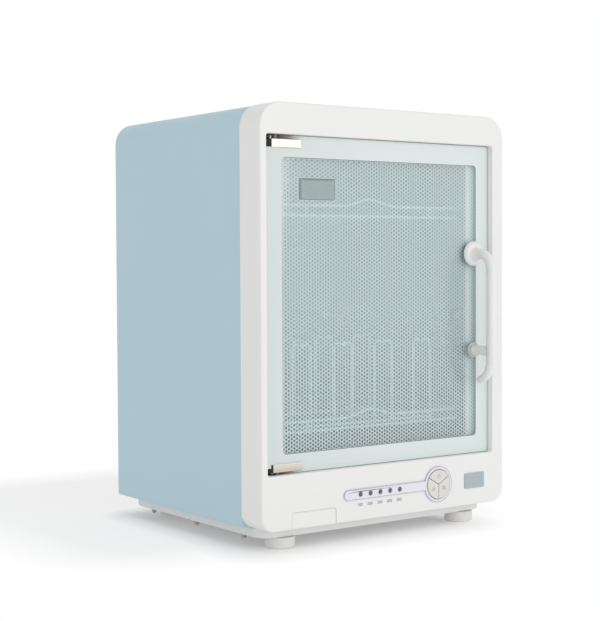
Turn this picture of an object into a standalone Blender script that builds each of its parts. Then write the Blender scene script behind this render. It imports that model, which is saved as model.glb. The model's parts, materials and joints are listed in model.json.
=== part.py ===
"""Countertop bottle steriliser with an ultraviolet lamp, a drying fan and a glass door.

Metres, +Z up, +X to the right and +Y to the back of the case. The origin is on the floor under the
middle of the object, and the front of the case looks along -Y.
"""
import math

import bmesh
import bpy
from mathutils import Matrix, Vector

# Gaps between pieces
SEAT_GAP = 0.0003
RUN_GAP = 0.0006
OVERRUN = 0.002
WELD = 0.000003

# Case, whose height is measured from what it stands on
CASE_WIDTH = 0.340
OVERALL_HEIGHT = 0.465
CASE_DEPTH = 0.303
CASE_CORNER = 0.026
CASE_LOWER_CORNER = 0.016
SHELL_LOWER_CORNER = 0.004
LEAST_CORNER = 0.0005
FRAME_DEPTH = 0.037
FRAME_EDGE = 0.002
FACE_WALL = 0.003
SIDE_WALL = 0.003
SHELL_STEP = 0.0007
SHELL_WALL = 0.0018
SHELL_LIP = 0.012
SHELL_LIP_WALL = 0.0012
PANEL_RECESS = 0.0023
PANEL_WALL = 0.0012

# Plinth and feet under the case
PLINTH_HEIGHT = 0.0102
PLINTH_SIDE_INSET = 0.013
PLINTH_FRONT_INSET = 0.017
PLINTH_BACK_INSET = 0.012
PLINTH_CORNER = 0.020
PLINTH_WALL = 0.002
FOOT_HEIGHT = 0.0123
FOOT_RADIUS = 0.016
FOOT_EDGE = 0.0012
FOOT_FRONT_SIDE_INSET = 0.043
FOOT_REAR_SIDE_INSET = 0.056
FOOT_FRONT_INSET = 0.029
FOOT_REAR_INSET = 0.036
FOOT_RECESS_RADIUS = 0.0055
FOOT_RECESS_DEPTH = 0.006

# Door opening in the frame, as the width of the band that is left on each side
LEFT_BAND = 0.0083
RIGHT_BAND = 0.0165
LOWER_BAND = 0.0579
UPPER_BAND = 0.033
OPENING_CORNER = 0.003
RETURN_WALL = 0.0025

# Rim inside the opening, which the door closes against and the chamber is screwed to
RIM_DEPTH = 0.0215
RIM_WALL = 0.002
RIM_LEFT = 0.0217
RIM_RIGHT = 0.0135
RIM_LOWER = 0.0166
RIM_UPPER = 0.019
CHAMBER_CORNER = 0.006

# Chamber
CHAMBER_DEPTH = 0.237
CHAMBER_WALL = 0.0008
CHAMBER_FLANGE = 0.006
DRAIN_HOLE_RADIUS = 0.0032

# Door glass
DOOR_GAP = 0.0022
GLASS_RECESS = 0.008
GLASS_THICKNESS = 0.005
GLASS_CORNER = 0.003

# Door seal
SEAL_INSET = 0.0006
SEAL_WIDTH = 0.0034

# Hinges
HINGE_INSET = 0.0095
CLIP_LENGTH = 0.0415
CLIP_HEIGHT = 0.0084
CLIP_LEG = 0.0015
CLIP_BLOCK_LEFT = 0.005
CLIP_BLOCK_RIGHT = 0.0055
CLIP_CHAMFER = 0.0042
UPPER_CLIP_DROP = 0.0026
LOWER_CLIP_RISE = 0.0004
NOTCH_HEIGHT = 0.0125
PIN_RADIUS = 0.0016
BUSH_RADIUS = 0.0034
BUSH_FLANGE_RADIUS = 0.0046
BUSH_FLANGE = 0.0008
BUSH_TAIL = 0.0015

# Handle
HANDLE_INSET = 0.0211
HANDLE_STANDOFF = 0.0308
HANDLE_RADIUS = 0.0054
HANDLE_ROOT_RADIUS = 0.0060
HANDLE_TIP_RADIUS = 0.0040
HANDLE_TOP_RISE = 0.2264
HANDLE_BEND = 0.020
TAIL_START_DROP = 0.1195
TAIL_BEND = 0.025
TAIL_SWEEP = math.radians(80)
ROSETTE_RADIUS = 0.0142
ROSETTE_THICKNESS = 0.006
ROSETTE_EDGE = 0.0025
POST_DROP = 0.110
POST_RADIUS = 0.0055
WASHER_RADIUS = 0.0087
WASHER_THICKNESS = 0.0016
HANDLE_SCREW_RADIUS = 0.002
HANDLE_SCREW_HEAD_RADIUS = 0.0048
HANDLE_SCREW_HEAD = 0.002
HANDLE_SCREW_REACH = 0.005
GLASS_HOLE_RADIUS = 0.003

# Door catch
STRIKE_WIDTH = 0.0048
STRIKE_HEIGHT = 0.024
STRIKE_THICKNESS = 0.0008
STRIKE_EDGE = 0.0006
CATCH_RISE = 0.150

# Control strip and key pad
BEZEL_THICKNESS = 0.001
STRIP_HEIGHT = 0.0113
STRIP_RISE = 0.02865
STRIP_LENGTH = 0.1334
PAD_SIDE_INSET = 0.1006
PAD_RADIUS = 0.0202
KEY_PAD_RADIUS = 0.0163
KEY_SPLIT = 0.0007
KEY_PROUD = 0.0022
KEY_THICKNESS = 0.0042
KEY_TRAVEL = 0.0012
KEY_STEM_RADIUS = 0.0026
KEY_STEM_OUT = 0.0092
KEY_STEM_LENGTH = 0.004
KEY_TURN = math.radians(30)
KEY_SPAN = math.radians(120)
LAMP_COUNT = 5
LAMP_REACH = 0.1112
LAMP_PITCH = 0.0137
LENS_RADIUS = 0.0022
LENS_BAR_HEIGHT = 0.006
LENS_BAR_WALL = 0.0014
LED_RADIUS = 0.0015
LED_LENGTH = 0.0035
BOARD_SIDE_MARGIN = 0.010
BOARD_RISE = 0.0155
BOARD_DROP = 0.0105
BOARD_WALL = 0.0016
SWITCH_SIDE = 0.006
SWITCH_DEPTH = 0.0035
PILLAR_RADIUS = 0.0025
BADGE_SIDE_INSET = 0.0305
BADGE_WIDTH = 0.0296
BADGE_RISE = 0.0192
BADGE_HEIGHT = 0.0175
BADGE_THICKNESS = 0.0008
BADGE_CORNER = 0.0015

# Drip tray
TRAY_LEFT = 0.038
TRAY_WIDTH = 0.0583
TRAY_FRONT_HEIGHT = 0.0178
TRAY_FRONT_CORNER = 0.004
TRAY_SIDE_INSET = 0.0026
TRAY_HEIGHT = 0.012
TRAY_LENGTH = 0.172
TRAY_WALL = 0.0015
GUIDE_FLOOR = 0.0012
GUIDE_WALL = 0.0025
GUIDE_LENGTH = 0.120
DRAIN_BACK = 0.040
DRAIN_PIPE_RADIUS = 0.0042
DRAIN_BORE_RADIUS = 0.003
DRAIN_FLANGE_RADIUS = 0.008
DRAIN_FLANGE = 0.0015
DRAIN_DROP = 0.004

# Wire racks
WIRE_RADIUS = 0.0016
THIN_WIRE_RADIUS = 0.0012
RACK_SIDE_GAP = 0.009
RACK_FRONT_GAP = 0.0125
RACK_BACK_GAP = 0.012
RACK_CORNER = 0.005
LOWER_RACK_RISE = 0.0215
UPPER_RACK_DROP = 0.063
FENCE_HEIGHT = 0.011
HUMP_HEIGHT = 0.0075
HUMP_WIDTH = 0.072
FLOOR_WIRES = 8
FENCE_POST_SHARES = (1 / 6, 5 / 6)
SIDE_POST_SHARES = (1 / 5, 4 / 5)
TIE_SHARES = (1 / 3, 2 / 3)
RACK_TRAVEL = 0.011
RUNNER_WIDTH = 0.0115
RUNNER_THICKNESS = 0.002
PEG_ROWS = 2
PEG_LOOPS = 4
PEG_SIDE_MARGIN = 0.0455
PEG_WIDTH = 0.025
PEG_HEIGHT = 0.090
PEG_DIP = 0.002
PEG_BEND = 0.006
PEG_FRONT_GAP = 0.012
PEG_ROW_PITCH = 0.110

# Lamp
TUBE_RADIUS = 0.008
TUBE_END_GAP = 0.040
TUBE_BACK_GAP = 0.030
TUBE_DROP = 0.015
CAP_RADIUS = 0.0084
CAP_LENGTH = 0.007
CAP_PIN_RADIUS = 0.0012
CAP_PIN_LENGTH = 0.006
CAP_PIN_SPREAD = 0.0025
HOLDER_THICKNESS = 0.009
HOLDER_WIDTH = 0.020
HOLDER_HEIGHT = 0.022
REFLECTOR_WALL = 0.0006
REFLECTOR_FLAT = 0.010
REFLECTOR_REACH = 0.018
REFLECTOR_FALL = 0.008
GUARD_WALL = 0.0012
GUARD_DROP = 0.0285
GUARD_SIDE_GAP = 0.010
GUARD_DEPTH = 0.040
GUARD_SLOTS = 11
GUARD_SLOT_WIDTH = 0.008
GUARD_SLOT_MARGIN = 0.007

# Fan and heater behind the chamber
FAN_SIDE = 0.080
FAN_DEPTH = 0.025
FAN_BORE_RADIUS = 0.0375
FAN_RISE = 0.175
FAN_CORNER = 0.004
HUB_RADIUS = 0.017
HUB_DEPTH = 0.013
BLADE_COUNT = 7
BLADE_TIP_RADIUS = 0.0355
BLADE_CHORD = 0.016
BLADE_WALL = 0.0012
BLADE_PITCH = math.radians(38)
FAN_FRONT_GAP = 0.005
STATOR_RADIUS = 0.013
STATOR_DEPTH = 0.0035
STRUT_WIDTH = 0.004
STRUT_DEPTH = 0.002
FAN_SHAFT_RADIUS = 0.0015
GRILLE_SLOTS = 9
GRILLE_SLOT_HEIGHT = 0.0035
GRILLE_SPAN = 0.064
HEATER_WIDTH = 0.120
HEATER_HEIGHT = 0.028
HEATER_DEPTH = 0.020
HEATER_CORE = 0.006
HEATER_FINS = 18
HEATER_RISE = 0.040
OUTLET_SLOTS = 8
OUTLET_SLOT_WIDTH = 0.005
OUTLET_SLOT_HEIGHT = 0.018

# Boards and mains inlet
POWER_BOARD_SIDE_INSET = 0.055
POWER_BOARD_WIDTH = 0.100
POWER_BOARD_DEPTH = 0.070
POWER_BOARD_BACK_GAP = 0.060
POWER_BOARD_RISE = 0.006
TRANSFORMER_SIDE = 0.030
TRANSFORMER_HEIGHT = 0.024
CAPACITOR_RADIUS = 0.008
CAPACITOR_HEIGHT = 0.020
BALLAST_GAP = 0.025
BALLAST_WIDTH = 0.050
BALLAST_DEPTH = 0.060
BALLAST_HEIGHT = 0.026
BALLAST_EDGE = 0.002
INLET_SIDE_INSET = 0.065
INLET_RISE = 0.040
INLET_WIDTH = 0.027
INLET_HEIGHT = 0.019
INLET_DEPTH = 0.020
INLET_WALL = 0.0025
INLET_FLANGE = 0.0035
INLET_FLANGE_WALL = 0.0014
INLET_PIN_RADIUS = 0.0012
INLET_PIN_LENGTH = 0.011
INLET_PIN_SPREAD = 0.0043

# How finely round shapes are divided
CORNER_STEPS = 6
ROUND_SIDES = 24
SMALL_SIDES = 12
WIRE_SIDES = 6
HANDLE_SIDES = 12
FEW_STEPS = 3
KEY_STEPS = 10
HUMP_STEPS = 8
BLOCK_SEGMENTS = 2
FRAME_SEGMENTS = 3
SMOOTH_ANGLE = math.radians(35)
FLAT_ANGLE = math.radians(0.1)

# Places worked out from the sizes above
HANDLE_REACH = HANDLE_STANDOFF + HANDLE_RADIUS - GLASS_RECESS
FRONT = (HANDLE_REACH - CASE_DEPTH) / 2
BACK = FRONT + CASE_DEPTH
BOTTOM = FOOT_HEIGHT + PLINTH_HEIGHT
TOP = OVERALL_HEIGHT
LEFT = -CASE_WIDTH / 2
RIGHT = CASE_WIDTH / 2

OPEN_LEFT = LEFT + LEFT_BAND
OPEN_RIGHT = RIGHT - RIGHT_BAND
OPEN_LOW = BOTTOM + LOWER_BAND
OPEN_HIGH = TOP - UPPER_BAND

RIM_FRONT = FRONT + RIM_DEPTH
RIM_BACK = RIM_FRONT + RIM_WALL
HOLE_LEFT = OPEN_LEFT + RIM_LEFT
HOLE_RIGHT = OPEN_RIGHT - RIM_RIGHT
HOLE_LOW = OPEN_LOW + RIM_LOWER
HOLE_HIGH = OPEN_HIGH - RIM_UPPER
HOLE_MIDDLE = (HOLE_LEFT + HOLE_RIGHT) / 2

CHAMBER_FRONT = RIM_BACK + SEAT_GAP
CHAMBER_BACK = CHAMBER_FRONT + CHAMBER_DEPTH

SHELL_INNER_LOW = BOTTOM + SHELL_STEP + SHELL_WALL
PANEL_BACK = BACK - PANEL_RECESS
PANEL_FRONT = PANEL_BACK - PANEL_WALL
LIP_BACK = PANEL_FRONT - SEAT_GAP

GLASS_LEFT = OPEN_LEFT + DOOR_GAP
GLASS_RIGHT = OPEN_RIGHT - DOOR_GAP
GLASS_LOW = OPEN_LOW + DOOR_GAP
GLASS_HIGH = OPEN_HIGH - DOOR_GAP
GLASS_FRONT = FRONT + GLASS_RECESS
GLASS_BACK = GLASS_FRONT + GLASS_THICKNESS

HINGE_X = GLASS_LEFT + HINGE_INSET
HINGE_Y = GLASS_FRONT + GLASS_THICKNESS / 2
CLIP_LEFT = HINGE_X - CLIP_BLOCK_LEFT
NOTCH_RIGHT = HINGE_X + CLIP_BLOCK_RIGHT + SEAT_GAP

HANDLE_X = GLASS_RIGHT - HANDLE_INSET
HANDLE_TOP = GLASS_LOW + HANDLE_TOP_RISE
HANDLE_Y = GLASS_FRONT - HANDLE_STANDOFF
POST_Z = HANDLE_TOP - POST_DROP

STRIP_Z = BOTTOM + STRIP_RISE
PAD_X = RIGHT - PAD_SIDE_INSET
STRIP_LEFT = PAD_X - STRIP_LENGTH
STRIP_BOARD_LEFT = STRIP_LEFT - BOARD_SIDE_MARGIN
STRIP_BOARD_RIGHT = PAD_X + PAD_RADIUS + BOARD_SIDE_MARGIN

TRAY_FRONT_LEFT = LEFT + TRAY_LEFT
TRAY_FRONT_RIGHT = TRAY_FRONT_LEFT + TRAY_WIDTH
TRAY_LOW = SHELL_INNER_LOW + SEAT_GAP + GUIDE_FLOOR + RUN_GAP
DRAIN_X = (TRAY_FRONT_LEFT + TRAY_FRONT_RIGHT) / 2
DRAIN_Y = CHAMBER_FRONT + DRAIN_BACK

RACK_LEFT = HOLE_LEFT + RACK_SIDE_GAP
RACK_RIGHT = HOLE_RIGHT - RACK_SIDE_GAP
RACK_FRONT = RIM_FRONT + RACK_FRONT_GAP
RACK_BACK = CHAMBER_BACK - RACK_BACK_GAP
LOWER_RACK_Z = HOLE_LOW + LOWER_RACK_RISE
UPPER_RACK_Z = HOLE_HIGH - UPPER_RACK_DROP

TUBE_LENGTH = HOLE_RIGHT - HOLE_LEFT - 2 * TUBE_END_GAP
TUBE_Y = CHAMBER_BACK - TUBE_BACK_GAP
TUBE_Z = HOLE_HIGH - TUBE_DROP

FAN_FRONT = CHAMBER_BACK + CHAMBER_WALL + SEAT_GAP
FAN_BACK = FAN_FRONT + FAN_DEPTH
FAN_Z = HOLE_LOW + FAN_RISE

BOARD_FRONT = FRONT - KEY_PROUD + KEY_THICKNESS + KEY_STEM_LENGTH + KEY_TRAVEL + SEAT_GAP + SWITCH_DEPTH

# Directions in which a flat outline can face: its two axes, then the one it is extruded along
FACING = {
    "front": Matrix.Rotation(math.pi / 2, 4, "X"),
    "top": Matrix.Identity(4),
    "side": Matrix(((0, 0, 1, 0), (1, 0, 0, 0), (0, 1, 0, 0), (0, 0, 0, 1))),
}
ALONG = {
    "x": Matrix.Rotation(math.pi / 2, 4, "Y"),
    "-x": Matrix.Rotation(-math.pi / 2, 4, "Y"),
    "y": Matrix.Rotation(-math.pi / 2, 4, "X"),
    "z": Matrix.Identity(4),
    "-y": Matrix.Rotation(math.pi / 2, 4, "X"),
    "-z": Matrix.Rotation(math.pi, 4, "X"),
}

# Finishes: colour, roughness, metallic value
WHITE_PLASTIC = ((0.83, 0.83, 0.82), 0.38, 0.0)
BLUE_PLASTIC = ((0.41, 0.55, 0.61), 0.42, 0.0)
PLINTH_GREY = ((0.60, 0.61, 0.60), 0.50, 0.0)
FOOT_GREY = ((0.62, 0.60, 0.58), 0.65, 0.0)
MIRROR_STEEL = ((0.66, 0.70, 0.72), 0.22, 1.0)
ZINC_STEEL = ((0.62, 0.63, 0.64), 0.40, 1.0)
CHROME = ((0.86, 0.84, 0.80), 0.12, 1.0)
MINT_GLASS = ((0.62, 0.72, 0.70), 0.08, 0.0)
CLEAR_MINT = ((0.70, 0.80, 0.77), 0.15, 0.0)
POST_GREY = ((0.55, 0.51, 0.50), 0.40, 0.0)
SEAL_RUBBER = ((0.60, 0.66, 0.65), 0.70, 0.0)
LAVENDER = ((0.74, 0.73, 0.86), 0.35, 0.0)
KEY_CREAM = ((0.87, 0.86, 0.80), 0.40, 0.0)
LENS_VIOLET = ((0.20, 0.19, 0.28), 0.20, 0.0)
BADGE_BLUE = ((0.30, 0.40, 0.46), 0.35, 0.0)
BOARD_GREEN = ((0.05, 0.20, 0.10), 0.50, 0.0)
BLACK_PLASTIC = ((0.03, 0.03, 0.03), 0.45, 0.0)
LAMP_GLASS = ((0.80, 0.84, 0.90), 0.10, 0.0)
ALUMINIUM = ((0.77, 0.78, 0.79), 0.30, 1.0)
BRASS = ((0.75, 0.60, 0.30), 0.30, 1.0)


def start_empty():
    """Remove what the scene holds and make the two collections."""
    for thing in list(bpy.data.objects):
        bpy.data.objects.remove(thing, do_unlink=True)
    made = []
    for name in ("bottle_steriliser", "cutters"):
        group = bpy.data.collections.new(name)
        bpy.context.scene.collection.children.link(group)
        made.append(group)
    return made


PARTS, CUTTERS = start_empty()


def finish(name, look):
    """A material for one piece from its colour, roughness and metallic value."""
    colour, roughness, metallic = look
    material = bpy.data.materials.new(name)
    material.use_nodes = True
    surface = material.node_tree.nodes["Principled BSDF"]
    surface.inputs["Base Color"].default_value = (*colour, 1.0)
    surface.inputs["Roughness"].default_value = roughness
    surface.inputs["Metallic"].default_value = metallic
    material.diffuse_color = (*colour, 1.0)
    return material


def add(name, mesh, matrix, look=None, parent=None):
    """Put a mesh in the scene: a piece if it has a finish, and a cutter if it has none."""
    thing = bpy.data.objects.new(name, mesh)
    if look is None:
        CUTTERS.objects.link(thing)
        thing.hide_render = True
        thing.display_type = "WIRE"
    else:
        PARTS.objects.link(thing)
        mesh.materials.clear()
        mesh.materials.append(finish(name, look))
    if parent is None:
        thing.matrix_basis = matrix
    else:
        thing.parent = parent
        thing.matrix_basis = parent.matrix_basis.inverted() @ matrix
    return thing


def joint_axis(name, spot):
    """An empty on a joint's axis, which carries the pieces that move together."""
    empty = bpy.data.objects.new(name, None)
    PARTS.objects.link(empty)
    empty.matrix_basis = Matrix.Translation(spot)
    return empty


def at(x, y, z):
    return Matrix.Translation((x, y, z))


def smooth(mesh):
    mesh.shade_smooth()
    mesh.set_sharp_from_angle(angle=SMOOTH_ANGLE)
    return mesh


def box_mesh(size):
    """A box of the given size about its own middle."""
    made = bmesh.new()
    bmesh.ops.create_cube(made, size=1)
    bmesh.ops.scale(made, vec=size, verts=made.verts)
    mesh = bpy.data.meshes.new("box")
    made.to_mesh(mesh)
    made.free()
    return mesh


def block(name, low, high, look=None, parent=None, edge=None):
    """A box between two corners, with its long edges rounded where an edge radius is given."""
    size = Vector(high) - Vector(low)
    middle = (Vector(high) + Vector(low)) / 2
    thing = add(name, box_mesh(size), Matrix.Translation(middle), look, parent)
    if edge is not None:
        rounding = thing.modifiers.new("rounded", "BEVEL")
        rounding.width = edge
        rounding.segments = BLOCK_SEGMENTS
    return thing


def rod_mesh(radius, length, sides=ROUND_SIDES):
    """A cylinder along Z that starts at zero."""
    made = bmesh.new()
    bmesh.ops.create_cone(made, cap_ends=True, segments=sides, radius1=radius, radius2=radius, depth=length)
    bmesh.ops.translate(made, vec=(0, 0, length / 2), verts=made.verts)
    mesh = bpy.data.meshes.new("rod")
    made.to_mesh(mesh)
    made.free()
    return smooth(mesh)


def rod(name, start, along, radius, length, look=None, parent=None, sides=ROUND_SIDES):
    return add(name, rod_mesh(radius, length, sides), at(*start) @ ALONG[along], look, parent)


def mesh_of(data):
    """The closed mesh of a curve, with its caps welded on."""
    holder = bpy.data.objects.new("curve", data)
    CUTTERS.objects.link(holder)
    graph = bpy.context.evaluated_depsgraph_get()
    mesh = bpy.data.meshes.new_from_object(holder.evaluated_get(graph))
    bpy.data.objects.remove(holder, do_unlink=True)
    bpy.data.curves.remove(data)
    made = bmesh.new()
    made.from_mesh(mesh)
    bmesh.ops.remove_doubles(made, verts=made.verts, dist=WELD)
    bmesh.ops.recalc_face_normals(made, faces=made.faces)
    made.to_mesh(mesh)
    made.free()
    return mesh


def plate_mesh(loops, thickness):
    """A flat outline, with any holes after it, thickened about its own plane."""
    data = bpy.data.curves.new("outline", "CURVE")
    data.dimensions = "2D"
    data.fill_mode = "BOTH"
    data.extrude = thickness / 2
    for loop in loops:
        spline = data.splines.new("POLY")
        spline.points.add(len(loop) - 1)
        for point, (u, v) in zip(spline.points, loop):
            point.co = (u, v, 0, 1)
        spline.use_cyclic_u = True
    return mesh_of(data)


def plate(name, loops, near, far, look=None, parent=None, facing="front"):
    """A plate whose outline is in world coordinates and which runs from near to far."""
    mesh = plate_mesh(loops, far - near)
    middle = (near + far) / 2
    spot = {"front": (0, middle, 0), "top": (0, 0, middle), "side": (middle, 0, 0)}[facing]
    return add(name, smooth(mesh), at(*spot) @ FACING[facing], look, parent)


def wire_mesh(points, radius, closed=False, sides=WIRE_SIDES, radii=None):
    """A round wire through the points, whose radius can change from point to point."""
    data = bpy.data.curves.new("wire", "CURVE")
    data.dimensions = "3D"
    data.bevel_depth = radius
    data.bevel_resolution = (sides - 4) // 2
    data.use_fill_caps = not closed
    spline = data.splines.new("POLY")
    spline.points.add(len(points) - 1)
    for index, (point, spot) in enumerate(zip(spline.points, points)):
        point.co = (*spot, 1)
        point.radius = radii[index] / radius if radii else 1
    spline.use_cyclic_u = closed
    return smooth(mesh_of(data))


def turned_mesh(profile, sides=ROUND_SIDES, ring=False):
    """A shape turned about Z from (radius, height) points that run down its outer side.

    A ring's points carry on up its bore, and close.
    """
    outline = bpy.data.meshes.new("profile")
    count = len(profile)
    edges = [(index, index + 1) for index in range(count - 1)]
    if ring:
        edges.append((count - 1, 0))
    outline.from_pydata([(radius, 0, height) for radius, height in profile], edges, [])
    holder = bpy.data.objects.new("profile", outline)
    CUTTERS.objects.link(holder)
    screw = holder.modifiers.new("turned", "SCREW")
    screw.steps = sides
    screw.render_steps = sides
    screw.use_merge_vertices = True
    screw.merge_threshold = WELD
    graph = bpy.context.evaluated_depsgraph_get()
    mesh = bpy.data.meshes.new_from_object(holder.evaluated_get(graph))
    bpy.data.objects.remove(holder, do_unlink=True)
    return smooth(mesh)


def turned(name, profile, spot, along, look=None, parent=None, sides=ROUND_SIDES, ring=False):
    return add(name, turned_mesh(profile, sides, ring), at(*spot) @ ALONG[along], look, parent)


def many(name, mesh, matrices, look=None, parent=None):
    """One node that holds a copy of a mesh at each of the places."""
    made = bmesh.new()
    for matrix in matrices:
        before = len(made.verts)
        made.from_mesh(mesh)
        made.verts.ensure_lookup_table()
        bmesh.ops.transform(made, matrix=matrix, verts=made.verts[before:])
    joined = bpy.data.meshes.new(name)
    made.to_mesh(joined)
    made.free()
    return add(name, smooth(joined), Matrix.Identity(4), look, parent)


def cut(thing, *tools):
    for tool in tools:
        change = thing.modifiers.new("cut", "BOOLEAN")
        change.operation = "DIFFERENCE"
        change.solver = "EXACT"
        change.object = tool
    return thing


def join(thing, *tools):
    """Fuse the tools with a piece, so that they are one solid."""
    for tool in tools:
        change = thing.modifiers.new("join", "BOOLEAN")
        change.operation = "UNION"
        change.solver = "EXACT"
        change.object = tool
    return thing


def arc(middle, radius, start, end, steps):
    """Points on an arc, both ends included."""
    spots = []
    for step in range(steps + 1):
        angle = start + (end - start) * step / steps
        spots.append((middle[0] + radius * math.cos(angle), middle[1] + radius * math.sin(angle)))
    return spots


def circle(middle, radius, sides=ROUND_SIDES):
    return arc(middle, radius, 0, 2 * math.pi, sides)[:-1]


def rounded(left, right, low, high, radius, steps=CORNER_STEPS, lower=None):
    """A rectangle with round corners, anticlockwise from its right side. Its lower corners may differ."""
    quarter = math.pi / 2
    foot = lower or radius
    points = arc((right - radius, high - radius), radius, 0, quarter, steps)
    points += arc((left + radius, high - radius), radius, quarter, 2 * quarter, steps)
    points += arc((left + foot, low + foot), foot, 2 * quarter, 3 * quarter, steps)
    points += arc((right - foot, low + foot), foot, 3 * quarter, 4 * quarter, steps)
    return points


def case_outline(inset, lower=CASE_LOWER_CORNER):
    return rounded(
        LEFT + inset, RIGHT - inset, BOTTOM + inset, TOP - inset, CASE_CORNER - inset,
        lower=max(lower - inset, LEAST_CORNER),
    )


def shell_outline(inset):
    """The shell's section. Its lower corners are nearly square, unlike the frame's."""
    return case_outline(inset, SHELL_LOWER_CORNER)


def opening_outline(grow=0):
    return rounded(OPEN_LEFT - grow, OPEN_RIGHT + grow, OPEN_LOW - grow, OPEN_HIGH + grow, OPENING_CORNER + grow)


def hole_outline(grow=0):
    return rounded(HOLE_LEFT - grow, HOLE_RIGHT + grow, HOLE_LOW - grow, HOLE_HIGH + grow, CHAMBER_CORNER + grow)


def soften_front(mesh, thickness, width):
    """Round the edge where a plate's front face meets its sides."""
    made = bmesh.new()
    made.from_mesh(mesh)
    bmesh.ops.dissolve_limit(made, angle_limit=FLAT_ANGLE, verts=made.verts, edges=made.edges)
    level = thickness / 2 - SEAT_GAP
    rim = []
    for edge in made.edges:
        flat = [abs(face.normal.z) > 0.5 for face in edge.link_faces]
        if flat.count(True) == 1 and all(vert.co.z > level for vert in edge.verts):
            rim.append(edge)
    bmesh.ops.bevel(
        made, geom=rim, offset=width, segments=FRAME_SEGMENTS, profile=0.5, affect="EDGES", material=-1,
        clamp_overlap=True,
    )
    made.to_mesh(mesh)
    made.free()
    return smooth(mesh)


def lamp_spots():
    return [PAD_X - LAMP_REACH + LAMP_PITCH * index for index in range(LAMP_COUNT)]


def key_directions():
    """The middle direction of each of the three sector keys."""
    return [KEY_TURN + KEY_SPAN * (index + 0.5) for index in range(3)]


def pillar_spots():
    inset = 2 * PILLAR_RADIUS
    levels = (STRIP_Z - BOARD_DROP + inset, STRIP_Z + BOARD_RISE - inset)
    return [(x, z) for x in (STRIP_BOARD_LEFT + inset, STRIP_BOARD_RIGHT - inset) for z in levels]


def build_front_frame():
    mesh = soften_front(plate_mesh([case_outline(0)], FRAME_DEPTH), FRAME_DEPTH, FRAME_EDGE)
    frame = add("front_frame", mesh, at(0, FRONT + FRAME_DEPTH / 2, 0) @ FACING["front"], WHITE_PLASTIC)
    window = plate("window", [opening_outline()], FRONT - OVERRUN, RIM_FRONT)
    aperture = plate("aperture", [hole_outline()], FRONT, FRONT + FRAME_DEPTH + OVERRUN)
    channel = plate(
        "channel", [case_outline(SIDE_WALL), opening_outline(RETURN_WALL)], FRONT + FACE_WALL, RIM_BACK + OVERRUN
    )
    hollow = plate("hollow", [case_outline(SIDE_WALL)], RIM_BACK, FRONT + FRAME_DEPTH + OVERRUN)
    through = FACE_WALL + 2 * OVERRUN
    pad = rod("pad_hole", (PAD_X, FRONT - OVERRUN, STRIP_Z), "y", KEY_PAD_RADIUS + SEAT_GAP, through)
    lamps = many(
        "lamp_holes",
        rod_mesh(LENS_RADIUS + SEAT_GAP, through, SMALL_SIDES),
        [at(x, FRONT - OVERRUN, STRIP_Z) @ ALONG["y"] for x in lamp_spots()],
    )
    hatch = plate(
        "hatch",
        [
            rounded(
                TRAY_FRONT_LEFT, TRAY_FRONT_RIGHT, BOTTOM - 2 * TRAY_FRONT_CORNER,
                BOTTOM + TRAY_FRONT_HEIGHT, TRAY_FRONT_CORNER,
            )
        ],
        FRONT - OVERRUN,
        FRONT + FACE_WALL + SEAT_GAP,
    )
    reach = OPEN_HIGH - OPEN_LOW + 2 * (RETURN_WALL + OVERRUN)
    bushes = rod(
        "bush_holes", (HINGE_X, HINGE_Y, OPEN_LOW - RETURN_WALL - OVERRUN), "z", BUSH_RADIUS + SEAT_GAP, reach
    )
    cut(frame, window, aperture, channel, hollow, pad, lamps, hatch, bushes)
    pillar = BOARD_FRONT - SEAT_GAP - FRONT - FACE_WALL / 2
    pillars = many(
        "pillars",
        rod_mesh(PILLAR_RADIUS, pillar, SMALL_SIDES),
        [at(x, FRONT + FACE_WALL / 2, z) @ ALONG["y"] for x, z in pillar_spots()],
    )
    join(frame, pillars)


def build_outer_shell():
    shell = plate(
        "outer_shell", [shell_outline(SHELL_STEP)], FRONT + FRAME_DEPTH + SEAT_GAP, BACK, BLUE_PLASTIC
    )
    inner = shell_outline(SHELL_STEP + SHELL_WALL)
    gusset = FRONT + FRAME_DEPTH + SEAT_GAP + SHELL_WALL
    mouth = plate("shell_mouth", [case_outline(SHELL_STEP + SHELL_WALL)], FRONT + FRAME_DEPTH - OVERRUN,
                  gusset + OVERRUN)
    front = plate("shell_front", [inner], gusset, LIP_BACK - SHELL_LIP_WALL)
    lip = plate("shell_lip", [shell_outline(SHELL_STEP + SHELL_WALL + SHELL_LIP)], FRONT + FRAME_DEPTH, BACK)
    rear = plate("shell_rear", [inner], LIP_BACK, BACK + OVERRUN)
    cut(shell, mouth, front, lip, rear)


def slots(name, middle, count, size, pitch, through):
    """A row of slots, cut through along Y, that climbs in Z or runs in X with the pitch given."""
    places = []
    for index in range(count):
        step = index - (count - 1) / 2
        places.append(at(middle[0] + step * pitch[0], middle[1], middle[2] + step * pitch[1]))
    return many(name, box_mesh((size[0], through, size[1])), places)


def build_back_panel():
    gap = SHELL_STEP + SHELL_WALL + SEAT_GAP
    panel = plate("back_panel", [shell_outline(gap)], PANEL_FRONT, PANEL_BACK, ZINC_STEEL)
    middle = (PANEL_FRONT + PANEL_BACK) / 2
    through = PANEL_WALL + 2 * OVERRUN
    fan = slots(
        "fan_vents", (HOLE_MIDDLE, middle, FAN_Z), GRILLE_SLOTS, (GRILLE_SPAN, GRILLE_SLOT_HEIGHT),
        (0, GRILLE_SPAN / (GRILLE_SLOTS - 1)), through,
    )
    inlet_x = RIGHT - INLET_SIDE_INSET
    inlet_z = BOTTOM + INLET_RISE
    half = (INLET_WIDTH / 2 + SEAT_GAP, INLET_HEIGHT / 2 + SEAT_GAP)
    socket = block(
        "inlet_cutout",
        (inlet_x - half[0], PANEL_FRONT - OVERRUN, inlet_z - half[1]),
        (inlet_x + half[0], PANEL_BACK + OVERRUN, inlet_z + half[1]),
    )
    cut(panel, fan, socket)


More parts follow.
